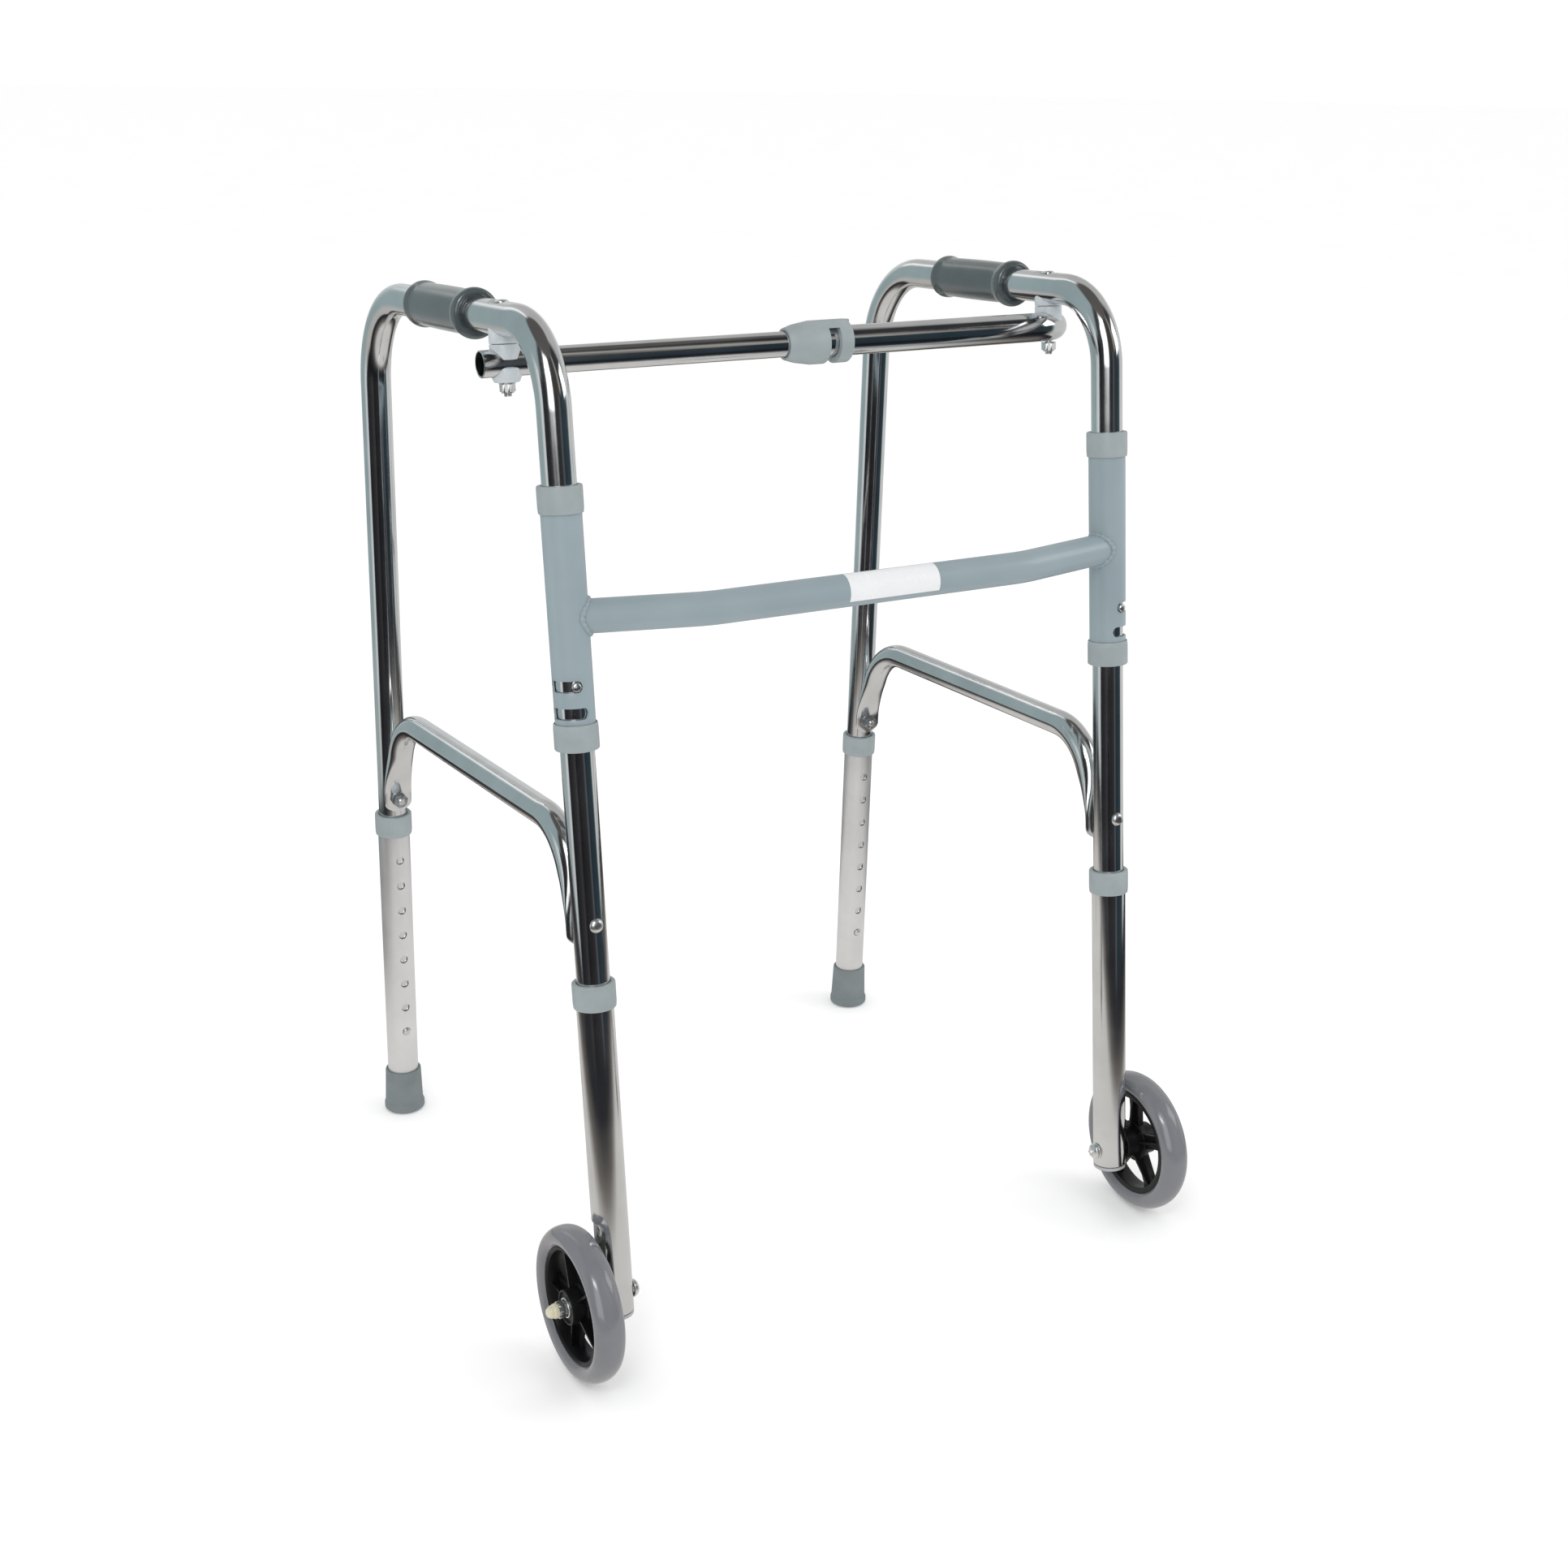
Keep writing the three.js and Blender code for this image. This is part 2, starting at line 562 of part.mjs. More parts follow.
// one moulding: tapered body, open window, and a ring joined to the body over the top
function latchSleeve() {
  const bore = OUTER_BAR.outer + 0.5;
  const nose = INNER_BAR.outer + 0.5;
  const body = turned([
    [nose, LATCH.from], [LATCH.nose, LATCH.from], [LATCH.outer, LATCH.taper], [LATCH.outer, LATCH.to],
    [bore, LATCH.to], [bore, LATCH.taper + 1], [nose, LATCH.taper + 1],
  ], vec(0, 0, 0), X, 20);
  const width = LATCH.ring - LATCH.window;
  const middle = (LATCH.ring + LATCH.window) / 2;
  const window = box(width, 60, 40, vec(middle, 0, -20 + LATCH.outer * 0.62));
  const lip = box(4, 7, 3, vec(LATCH.to - 0.4, 0, LATCH.outer - 1));
  return cut(join([body, lip]), [window]);
}

// the spring bears on the body's shoulder and on the mouth of the outer tube
function latchSpring() {
  const wire = 0.55;
  const radius = INNER_BAR.outer + 0.5 + wire + 0.15;
  const from = LATCH.taper + 1 + GAP + wire;
  const length = OUTER_BAR.from - GAP - wire - from;
  const turns = 3;
  const steps = turns * 10;
  const stations = Array.from({ length: steps + 1 }, (_, i) => {
    const angle = (2 * Math.PI * turns * i) / steps;
    const point = vec(from + (length * i) / steps, radius * Math.cos(angle), radius * Math.sin(angle));
    const climb = length / (2 * Math.PI * turns);
    const tangent = vec(climb, -radius * Math.sin(angle), radius * Math.cos(angle)).normalize();
    return { point, tangent };
  });
  return new THREE.ExtrudeGeometry(new THREE.Shape(polygon(wire, 5)), {
    steps, extrudePath: new RoutedPath(stations), bevelEnabled: false,
  });
}

// ---------- assembly ----------
// a group whose z runs up a front leg, opened out by `toe`
function legAxisGroup(side, toe) {
  const leaned = new THREE.Group();
  leaned.position.set(side * LEG_X, CENTRE_Y, 0);
  leaned.rotation.x = -FRONT_LEAN;
  const turnedOut = new THREE.Group();
  turnedOut.rotation.z = -side * toe;
  leaned.add(turnedOut);
  return { leaned, axis: turnedOut };
}

function addFrontFrame(walker) {
  walker.add(mesh('crossbar', crossbar(), PAINT));
  for (const [name, side] of [['right', -1], ['left', 1]]) {
    const { leaned, axis } = legAxisGroup(side, 0);
    const down = Z.clone().negate();
    axis.add(
      mesh(`${name}_sleeve`, sleeve(side), PAINT),
      mesh(`${name}_upper_bush`,
        endCap(BUSH, SLEEVE.outer, SLEEVE.hidden, vec(0, 0, alongFront(SLEEVE.top)), Z), GREY_PLASTIC),
      mesh(`${name}_lower_bush`,
        endCap(BUSH, SLEEVE.outer, SLEEVE.hidden, vec(0, 0, alongFront(SLEEVE.bottom)), down), GREY_PLASTIC),
    );
    walker.add(leaned);
  }
}

function addWheel(axis, name, side) {
  const outboard = new THREE.Group();
  outboard.position.z = alongFront(WHEEL.radius);
  outboard.rotation.y = (side * Math.PI) / 2;
  const wheel = new THREE.Group();
  wheel.position.z = WHEEL.offset;
  wheel.add(
    mesh(`${name}_tyre`, tyre(), TYRE),
    mesh(`${name}_wheel_hub`, hub(), BLACK),
    mesh(`${name}_wheel_bearing`, bearing(), CHROME),
  );
  outboard.add(
    wheel,
    mesh(`${name}_axle_bolt`, axleBolt(), CHROME),
    mesh(`${name}_axle_nut`, axleNut(), CHROME),
  );
  axis.add(outboard);
}

function addSideFrame(walker, name, side) {
  const { leaned, axis } = legAxisGroup(side, TOE_OUT);
  const upright = new THREE.Group();
  upright.rotation.x = FRONT_LEAN;
  axis.add(upright);

  const groove = side < 0 ? GROOVE.right : GROOVE.left;
  const nutSeat = PIVOT.bar - OUTER_BAR.outer - 1.2;
  axis.add(mesh(`${name}_pivot_saddle`, pivotSaddle(groove), PALE_PLASTIC));
  axis.add(mesh(`${name}_pivot_bolt`, pivotBolt(side < 0 ? groove + 0.5 : nutSeat - 10), CHROME));
  if (side > 0) axis.add(mesh('left_pivot_nut', pivotNut(vec(0, PIVOT.reach, 0), nutSeat), CHROME));

  upright.add(
    mesh(`${name}_side_tube`, sideTube(side), ALUMINIUM),
    mesh(`${name}_hand_grip`, handGrip(), VINYL),
    mesh(`${name}_brace`, sideBrace(), ALUMINIUM),
    mesh(`${name}_brace_rivet`, bracePin(
      frontAt(BRACE_FRONT.pin), frontBack,
      { radius: 5.5, height: 3 }, { radius: 5, height: 2, thread: 0.6, sides: 8 },
    ), CHROME),
    mesh(`${name}_brace_bolt`, bracePin(
      rearAt(BRACE_REAR.pin), rearBack.clone().negate(),
      { radius: 6, height: 3.5 }, { radius: 5.6, height: 5.5, thread: 2.5, sides: 6 },
    ), CHROME),
    mesh(`${name}_sleeve_button`, springButton(
      frontAt(SLOT.upper), buttonDirection(side), frontUp, SLEEVE.outer + 2.4,
    ), CHROME),
    mesh(`${name}_front_leg_button`, springButton(
      frontAt(FRONT_LEG.firstHole), frontBack, frontUp, LEG.outer + 2,
    ), CHROME),
    mesh(`${name}_rear_leg_button`, springButton(
      rearAt(REAR_LEG.firstHole), rearBack.clone().negate(), rearUp, LEG.outer + 2,
    ), CHROME),
    mesh(`${name}_rear_leg_tube`, rearLegTube(), SATIN),
    mesh(`${name}_rear_leg_collar`, endCap(
      COLLAR, LEG.outer, COLLAR.height - 5,
      rearAt(REAR_LEG.top).addScaledVector(rearUp, 5 - COLLAR.height), rearUp,
    ), GREY_PLASTIC),
    mesh(`${name}_foot`, foot(), RUBBER),
  );

  axis.add(
    mesh(`${name}_front_leg_tube`, frontLegTube(side), ALUMINIUM),
    mesh(`${name}_front_leg_collar`, endCap(
      COLLAR, LEG.outer, COLLAR.height - 5, vec(0, 0, alongFront(FRONT_LEG.top) + 5 - COLLAR.height), Z,
    ), GREY_PLASTIC),
    mesh(`${name}_wheel_leg_plug`, wheelPlug(side), GREY_PLASTIC),
  );
  addWheel(axis, name, side);
  walker.add(leaned);
}

// the bar lies between the two pivots, square to the front legs; its own x starts at the right pivot
function addTopBar(walker) {
  const span = 2 * (LEG_X + PIVOT.reach * Math.sin(TOE_OUT));
  const farSag = OUTER_BAR.bend - Math.sqrt(OUTER_BAR.bend ** 2 - (span - OUTER_BAR.straight) ** 2);
  const turn = Math.asin(farSag / span);
  const leaned = new THREE.Group();
  leaned.position.set(0, CENTRE_Y, 0);
  leaned.rotation.x = -FRONT_LEAN;
  const bar = new THREE.Group();
  bar.position.set(-span / 2, PIVOT.reach * Math.cos(TOE_OUT), PIVOT.bar);
  bar.rotation.z = -turn;
  leaned.add(bar);
  const nearPivot = vec(0, 0, 0);
  const farPivot = vec(span * Math.cos(turn), span * Math.sin(turn), 0);
  const thickInner = rod(INNER_BAR.outer + GAP, vec(-30, 0, 0), vec(30, 0, 0), 20);
  const thickOuter = pipe({ outer: OUTER_BAR.outer + 2 * GAP, inner: 0 }, outerBarLine(), [OUTER_BAR.bend]);
  const grooveFloor = GROOVE.bottom - PIVOT.bar;
  const under = -INNER_BAR.outer - 4;
  const lockSlug = rod(BAR_SLUG.radius, vec(BAR_SLUG.from, 0, 0), vec(BAR_SLUG.to, 0, 0), 14);
  bar.add(
    mesh('bar_inner_tube', innerBar(), ALUMINIUM),
    mesh('bar_outer_tube', outerBar(farPivot), ALUMINIUM),
    mesh('bar_lock_slug', lockSlug, PALE_PLASTIC),
    mesh('latch_sleeve', latchSleeve(), GREY_PLASTIC),
    mesh('latch_spring', latchSpring(), CHROME),
    mesh('right_pivot_spacer', barSeat(nearPivot, 4, grooveFloor, PIVOT.disc, thickInner), PALE_PLASTIC),
    mesh('left_pivot_spacer', barSeat(farPivot, 6.5, grooveFloor, PIVOT.disc, thickOuter), PALE_PLASTIC),
    mesh('right_lower_saddle', barSeat(nearPivot, under, -4, PIVOT.disc - 0.4, thickInner), PALE_PLASTIC),
    mesh('right_pivot_nut', pivotNut(nearPivot, under - GAP, grooveFloor - 0.5), CHROME),
  );
  walker.add(leaned);
}

const walker = new THREE.Group();
addFrontFrame(walker);
addSideFrame(walker, 'right', -1);
addSideFrame(walker, 'left', 1);
addTopBar(walker);

// the origin is under the middle of the walker's box, on the floor
const bounds = new THREE.Box3().setFromObject(walker, true);
walker.position.set(0, -(bounds.min.y + bounds.max.y) / 2, -bounds.min.z);

export default walker;
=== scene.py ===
"""Looks for the folding walking frame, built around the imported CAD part.

Pieces are modelled in millimetres on the CAD's own lines (a front leg's axis, a side frame or the
top bar) and placed in the shared frame in metres: +Z up, -Y the front, +X the user's left.
"""

import json
import math

import bmesh
import bpy
import numpy as np
from mathutils import Matrix, Vector


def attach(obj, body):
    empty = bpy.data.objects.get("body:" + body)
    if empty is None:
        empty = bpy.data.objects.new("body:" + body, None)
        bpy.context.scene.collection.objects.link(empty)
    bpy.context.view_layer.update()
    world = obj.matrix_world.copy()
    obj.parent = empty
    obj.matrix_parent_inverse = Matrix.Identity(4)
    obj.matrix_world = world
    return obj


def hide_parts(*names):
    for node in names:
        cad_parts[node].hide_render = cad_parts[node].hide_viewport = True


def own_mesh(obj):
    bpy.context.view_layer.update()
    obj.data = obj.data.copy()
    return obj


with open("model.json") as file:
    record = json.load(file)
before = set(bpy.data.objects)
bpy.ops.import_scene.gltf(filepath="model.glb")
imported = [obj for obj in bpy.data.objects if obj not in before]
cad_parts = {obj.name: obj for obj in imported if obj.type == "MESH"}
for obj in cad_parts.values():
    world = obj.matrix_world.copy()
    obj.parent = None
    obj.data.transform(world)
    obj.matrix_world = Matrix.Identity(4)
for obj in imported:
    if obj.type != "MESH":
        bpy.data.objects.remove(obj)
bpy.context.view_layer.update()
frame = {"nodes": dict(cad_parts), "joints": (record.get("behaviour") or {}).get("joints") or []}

MM = 0.001
DEG = math.pi / 180

# ---------- dimensions in millimetres, nearly all of them the CAD's ----------
FRONT_LEAN, REAR_LEAN, HANDLE_DROP, TOE_OUT = 6.7 * DEG, 1.88 * DEG, 2.86 * DEG, 1.2 * DEG
FLOOR_DEPTH, HANDLE_Z = 477.4, 800.7
FRONT_BEND, REAR_BEND = 60, 80
TUBE_R, TUBE_BORE, TUBE_FRONT_END, TUBE_REAR_END = 12.7, 11.45, 138, 72
GRIP_FROM, GRIP_TO = 222, 334
BRACE_Z, BRACE_R, BRACE_BORE, BRACE_BENDS = 432, 11, 9.8, (50, 58)
BRACE_FRONT = {"pin": 365.5, "round": 405, "end": 344}
BRACE_REAR = {"pin": 328, "round": 378, "end": 316}
BRACE_FLAT = {"half_width": 12.8, "half_thickness": 1.7, "blend": 45, "toe": 9, "gap": 0.35}
STRAP_FACE = TUBE_R + BRACE_FLAT["gap"] + 2 * BRACE_FLAT["half_thickness"] + 0.1
SLEEVE_R, SLEEVE_BORE, SLEEVE_BOTTOM, SLEEVE_TOP, SLEEVE_HIDDEN = 15, 13.3, 517, 668, 10
CAP_R, CAP_BORE, CAP_HEIGHT = 16.6, 13.1, 20
SLOT_HEIGHT, SLOT_END = 8.6, 109
SLOTS = ((545.3, -5), (525.3, -20))
CROSSBAR_Z, CROSSBAR_R, CROSSBAR_BOW, CROSSBAR_BEND_X, CROSSBAR_BEND = 593.6, 12.7, 23, 140, 100
LEG_R, LEG_BORE, HOLE_R, HOLE_PITCH = 14.3, 13.2, 3.9, 25.4
FRONT_LEG_TOP, FRONT_LEG_END, FRONT_HOLES, FRONT_FIRST_HOLE = 314, 49, 6, 158
REAR_LEG_TOP, REAR_LEG_END, REAR_HOLES, REAR_FIRST_HOLE = 304, 8, 8, 87.8
FLAT_OFFSET, FLAT_TOP = 9.5, 124
BUTTON_R, BUTTON_TILT = 3.5, 14 * DEG
FOOT_HEIGHT = 42.4
WHEEL_R, TYRE_R, WHEEL_OFFSET, BEAD_R, BOSS_FACE = 62.5, 62.1, 30, 47, 12
LEG_CAP_RISE, LIP, BEND_STEP = 5, 0.35, 4 * DEG
SPOKE_PHASE = {-1: 19, 1: 38}
PIVOT_REACH, BAR_HEIGHT, HANDLE_HEIGHT, DISC_R = 81.1, 775.3, 807, 11.2
GROOVES, GROOVE_GAP = {-1: 789.3, 1: 792.5}, 0.5
INNER_BAR_R, INNER_BAR_BORE, INNER_BAR_ENDS = 10, 8.7, (-20, 304.7)
OUTER_BAR_R, OUTER_BAR_BORE, OUTER_BAR_FROM, OUTER_BAR_STRAIGHT = 11.8, 10.5, 264.7, 465
OUTER_BAR_BEND, OUTER_BAR_TURN = 40, 57 * DEG
LATCH = {"from": 230.7, "taper": 252.7, "window": 264.1, "ring": 273.8, "to": 285.3, "outer": 17}

RIGHT, LEFT = -1, 1
NAMES = {RIGHT: "right", LEFT: "left"}


# ---------- lines of the walker ----------
fold = {j["name"]: j for j in frame["joints"]}["left_fold"]
LEG_X = fold["pos_m"][0] / MM
ORIGIN_Y, ORIGIN_Z = fold["pos_m"][1], fold["pos_m"][2]


def vec(x, y, z):
    return np.array([x, y, z], float)


def unit(vector):
    return vector / np.linalg.norm(vector)


def shift(x=0, y=0, z=0):
    return Matrix.Translation((x, y, z))


def turn(angle, axis):
    return Matrix.Rotation(angle, 4, axis)


def front_at(z):
    return vec(0, z * math.tan(FRONT_LEAN), z)


def rear_at(z):
    return vec(0, FLOOR_DEPTH - z * math.tan(REAR_LEAN), z)


def up_front(z):
    """A height as a distance up the front leg."""
    return z / math.cos(FRONT_LEAN)


FRONT_UP = vec(0, math.sin(FRONT_LEAN), math.cos(FRONT_LEAN))
FRONT_BACK = vec(0, math.cos(FRONT_LEAN), -math.sin(FRONT_LEAN))
REAR_UP = vec(0, -math.sin(REAR_LEAN), math.cos(REAR_LEAN))
REAR_BACK = vec(0, math.cos(REAR_LEAN), math.sin(REAR_LEAN))
HANDLE_BACK = vec(0, math.cos(HANDLE_DROP), -math.sin(HANDLE_DROP))
ACROSS, UP = vec(1, 0, 0), vec(0, 0, 1)


def meets_falling_line(point, direction, z):
    """Where a line meets the falling line of height z at y = 0."""
    slope = math.tan(HANDLE_DROP)
    t = (z - point[2] - slope * point[1]) / (direction[2] + slope * direction[1])
    return point + direction * t


def leg_axis(side, toe=TOE_OUT):
    """z runs up a front leg from the floor, y backwards, square to it."""
    place = shift(side * LEG_X * MM, ORIGIN_Y, ORIGIN_Z)
    return place @ turn(-FRONT_LEAN, "X") @ turn(-side * toe, "Z") @ Matrix.Scale(MM, 4)


def upright(side):
    """A side frame's own lines: z is straight up, y runs back along the floor."""
    return leg_axis(side) @ turn(FRONT_LEAN, "X")


def along(origin, direction, across=None):
    """A placement whose z runs along direction from origin."""
    z = Vector(direction).normalized()
    x = Vector(across) if across is not None else z.orthogonal()
    x = (x - z * x.dot(z)).normalized()
    y = z.cross(x)
    return Matrix.Translation(Vector(origin)) @ Matrix((x, y, z)).transposed().to_4x4()


# ---------- shapes: vertices, faces and grain (round the tube, and along it) ----------
class Shape:
    def __init__(self, points, faces, grain):
        self.points, self.faces = np.asarray(points, float), faces
        self.grain = np.asarray(grain, float)

    def moved(self, place):
        matrix = np.array(place)
        self.points = self.points @ matrix[:3, :3].T + matrix[:3, 3]
        return self

    def __add__(self, other):
        start = len(self.points)
        faces = self.faces + [[i + start for i in face] for face in other.faces]
        return Shape(np.vstack([self.points, other.points]), faces,
                     np.vstack([self.grain, other.grain]))


def strip(rings, joined):
    """Quads between successive rings of vertex numbers."""
    faces, sides = [], len(rings[0])
    pairs = list(zip(rings, rings[1:])) + ([(rings[-1], rings[0])] if joined else [])
    for a, b in pairs:
        for i in range(sides):
            j = (i + 1) % sides
            quad = [a[i], a[j], b[j], b[i]]
            face = [v for k, v in enumerate(quad) if v != quad[k - 1]]
            if len(face) > 2:
                faces.append(face)
    return faces


class Skin:
    """Gathers rings of points and joins each one to the next."""

    def __init__(self):
        self.points, self.grain, self.rings = [], [], []

    def ring(self, points, grain=None):
        self.rings.append(list(range(len(self.points), len(self.points) + len(points))))
        self.points.extend(points)
        self.grain.extend(points if grain is None else grain)

    def shape(self, closed=True):
        """Joins the last ring to the first or, if not closed, puts a face over either end."""
        ends = [] if closed else [self.rings[0][::-1], self.rings[-1]]
        return Shape(self.points, strip(self.rings, closed) + ends, self.grain)


def revolve(profile, sides=64, warp=None):
    """A solid turned from a closed outline of (radius, height) points. warp(angle, r, z) shapes it."""
    points, rings = [], []
    for r, z in profile:
        if r < 1e-6:
            points.append((0, 0, z))
            rings.append([len(points) - 1] * sides)
            continue
        rings.append(list(range(len(points), len(points) + sides)))
        for i in range(sides):
            angle = 2 * math.pi * i / sides
            radius, height = warp(angle, r, z) if warp else (r, z)
            points.append((radius * math.cos(angle), radius * math.sin(angle), height))
    closed = profile[0][0] > 1e-6 or profile[-1][0] > 1e-6
    return Shape(points, strip(rings, closed), points)


def rounded(outline, steps=4):
    """An outline whose points (r, z, radius) become arcs where a radius is given."""
    result, count = [], len(outline)
    for i, corner in enumerate(outline):
        here = np.array(corner[:2], float)
        radius = corner[2] if len(corner) > 2 else 0
        before = np.array(outline[i - 1][:2], float) - here
        after = np.array(outline[(i + 1) % count][:2], float) - here
        if not radius:
            result.append(tuple(here))
            continue
        before, after = unit(before), unit(after)
        half = math.acos(np.clip(before @ after, -1, 1)) / 2
        reach = radius / math.tan(half)
        centre = here + unit(before + after) * radius / math.sin(half)
        first, last = here + before * reach - centre, here + after * reach - centre
        sweep = math.pi - 2 * half
        for k in range(steps + 1):
            t = k / steps
            arm = (math.sin((1 - t) * sweep) * first + math.sin(t * sweep) * last) / math.sin(sweep)
            result.append(tuple(centre + arm))
    return result


def smooth_line(knots, steps=6):
    """Points on a smooth curve through the knots."""
    knots = [np.array(k, float) for k in knots]
    padded = [2 * knots[0] - knots[1]] + knots + [2 * knots[-1] - knots[-2]]
    line = []
    for a, b, c, d in zip(padded, padded[1:], padded[2:], padded[3:]):
        for k in range(steps):
            t = k / steps
            line.append(tuple(0.5 * (2 * b + (c - a) * t + (2 * a - 5 * b + 4 * c - d) * t * t
                                     + (3 * b - a - 3 * c + d) * t ** 3)))
    return line + [tuple(knots[-1])]


def disc(radius, low, high, edge=0.6, bore=0, sides=64):
    outline = [(bore, low), (radius, low, edge), (radius, high, edge), (bore, high)]
    return revolve(rounded(outline), sides)


def route(corners, radii, straight):
    """Stations (point, heading, distance) along straight runs joined by round bends."""
    stations, at, heading = [], corners[0], None

    def run_to(end):
        length = np.linalg.norm(end - at)
        count = max(1, int(round(length / straight)))
        for k in range(count):
            stations.append((at + (end - at) * k / count, heading))

    for i, radius in enumerate(radii):
        into, out = unit(corners[i + 1] - corners[i]), unit(corners[i + 2] - corners[i + 1])
        angle = math.acos(np.clip(into @ out, -1, 1))
        start = corners[i + 1] - into * radius * math.tan(angle / 2)
        heading = into
        run_to(start)
        inward = unit(out - into * (into @ out))
        steps = max(2, math.ceil(angle / BEND_STEP))
        for k in range(steps):
            part = angle * k / steps
            stations.append((start + into * radius * math.sin(part)
                             + inward * radius * (1 - math.cos(part)),
                             into * math.cos(part) + inward * math.sin(part)))
        at = start + into * radius * math.sin(angle) + inward * radius * (1 - math.cos(angle))
    heading = unit(corners[-1] - corners[-2])
    run_to(corners[-1])
    stations.append((corners[-1], heading))
    result, distance, last = [], 0.0, stations[0][0]
    for point, way in stations:
        distance += np.linalg.norm(point - last)
        last = point
        result.append((point, way, distance))
    return result


def circle(radius, sides):
    angles = 2 * math.pi * np.arange(sides) / sides
    return np.stack([np.cos(angles), np.sin(angles)], 1) * radius


def tube(corners, radii, outer, bore, plane, sides=48, straight=6.0):
    """A bent tube with a wall and softened mouths; plane is square to all its bends."""
    stations = route(corners, radii, straight)
    first, last, length = stations[0], stations[-1], stations[-1][2]
    line = [first, (first[0] + first[1] * LIP, first[1], LIP)] + stations[1:-1]
    line += [(last[0] - last[1] * LIP, last[1], length - LIP), last]
    outside = [outer - LIP] + [outer] * (len(line) - 2) + [outer - LIP]
    inside = [bore + LIP] + [bore] * (len(line) - 2) + [bore + LIP]
    skin = Skin()
    for (point, heading, distance), radius in [*zip(line, outside), *reversed([*zip(line, inside)])]:
        normal, ring = np.cross(plane, heading), circle(radius, sides)
        skin.ring(point + ring[:, :1] * normal + ring[:, 1:] * plane,
                  np.hstack([ring, np.full((sides, 1), distance)]))
    return skin.shape()


def hexagon(across_flats, height, bore):
    """A nut with chamfered corners, seated at z = 0."""
    apothem = across_flats / 2
    round_at = apothem * 1.06

    def warp(angle, r, z):
        if r < apothem:
            return r, z
        turned = (angle + math.pi / 6) % (math.pi / 3) - math.pi / 6
        corner = apothem / math.cos(turned)
        slope = max(0.0, corner - round_at) * 0.55
        if r < apothem + 0.05:
            return min(corner, round_at), z
        return corner, z + slope if z < height / 2 else z - slope
    return revolve([(bore, 0), (apothem + 0.01, 0), (apothem + 0.1, 0.02),
                    (apothem + 0.1, height - 0.02), (apothem + 0.01, height), (bore, height)],
                   72, warp)


def thread(radius, low, high):
    """The end of a screw: ridges, and a chamfer at the tip."""
    outline, z, pitch = [(0, low)], low, 0.8
    while z < high - pitch:
        outline += [(radius - 0.35, z), (radius, z + pitch / 2)]
        z += pitch
    return revolve(outline + [(radius - 0.4, z), (radius - 0.9, high), (0, high)], 32)


def pan_head(radius, height, seat=0.0):
    return revolve([(0, seat)] + rounded([
        (radius * 0.97, seat, 0.3), (radius, seat + height * 0.45, height * 0.3),
        (radius * 0.62, seat + height * 0.96, height * 0.5), (0.001, seat + height)])[:-1]
        + [(0, seat + height)], 48)


def block(width, depth, height, centre=(0, 0, 0)):
    signs = [(-1, -1, -1), (1, -1, -1), (1, 1, -1), (-1, 1, -1),
             (-1, -1, 1), (1, -1, 1), (1, 1, 1), (-1, 1, 1)]
    half = np.array([width, depth, height]) / 2
    points = np.array(signs) * half + np.array(centre)
    faces = [[3, 2, 1, 0], [4, 5, 6, 7], [0, 1, 5, 4], [1, 2, 6, 5], [2, 3, 7, 6], [3, 0, 4, 7]]
    return Shape(points, faces, points)


def prism(outline, low, high):
    """A closed outline of (x, y) points, from height low to high."""
    count = len(outline)
    points = [(x, y, low) for x, y in outline] + [(x, y, high) for x, y in outline]
    faces = [[i, (i + 1) % count, (i + 1) % count + count, i + count] for i in range(count)]
    faces += [list(range(count))[::-1], list(range(count, 2 * count))]
    return Shape(points, faces, points)


# ---------- objects ----------
def new_object(name, data):
    obj = bpy.data.objects.new(name, data)
    bpy.context.scene.collection.objects.link(obj)
    return obj


def to_object(name, shape, place):
    mesh = bpy.data.meshes.new(name)
    matrix = np.array(place)
    points = shape.points @ matrix[:3, :3].T + matrix[:3, 3]
    mesh.from_pydata(points.tolist(), [], shape.faces)
    grain = mesh.attributes.new("grain", "FLOAT_VECTOR", "POINT")
    grain.data.foreach_set("vector", shape.grain.astype(np.float32).ravel())
    build = bmesh.new()
    build.from_mesh(mesh)
    bmesh.ops.recalc_face_normals(build, faces=build.faces)
    build.to_mesh(mesh)
    build.free()
    return new_object(name, mesh)


def apply_modifiers(obj):
    bpy.context.view_layer.update()
    graph = bpy.context.evaluated_depsgraph_get()
    mesh = bpy.data.meshes.new_from_object(obj.evaluated_get(graph), depsgraph=graph)
    obj.modifiers.clear()
    old, obj.data = obj.data, mesh
    bpy.data.meshes.remove(old)


def combined(obj, operation, shapes, place):
    """Cuts shapes, placed like the piece, out of it, or joins them to it."""
    for shape in shapes:
        other = to_object("other", shape, place)
        step = obj.modifiers.new("combine", "BOOLEAN")
        step.operation, step.solver, step.object = operation, "EXACT", other
        apply_modifiers(obj)
        bpy.data.objects.remove(other)
    return obj


def soften(obj, width, angle=35):
    step = obj.modifiers.new("bevel", "BEVEL")
    step.width, step.segments, step.limit_method = width * MM, 2, "ANGLE"
    step.angle_limit, step.harden_normals = angle * DEG, False
    apply_modifiers(obj)


def finish_piece(obj, material, body, *nodes, sharp=38):
    obj.data.materials.clear()
    obj.data.materials.append(material)
    obj.data.shade_smooth()
    obj.data.set_sharp_from_angle(angle=sharp * DEG)
    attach(obj, body)
    if nodes:
        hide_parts(*nodes)
    return obj


def piece(name, shape, place, material, body, *nodes, cuts=(), bevel=0.0, sharp=38):
    obj = to_object(name, shape, place)
    combined(obj, "DIFFERENCE", cuts, place)
    if bevel:
        soften(obj, bevel)
    return finish_piece(obj, material, body, *nodes, sharp=sharp)


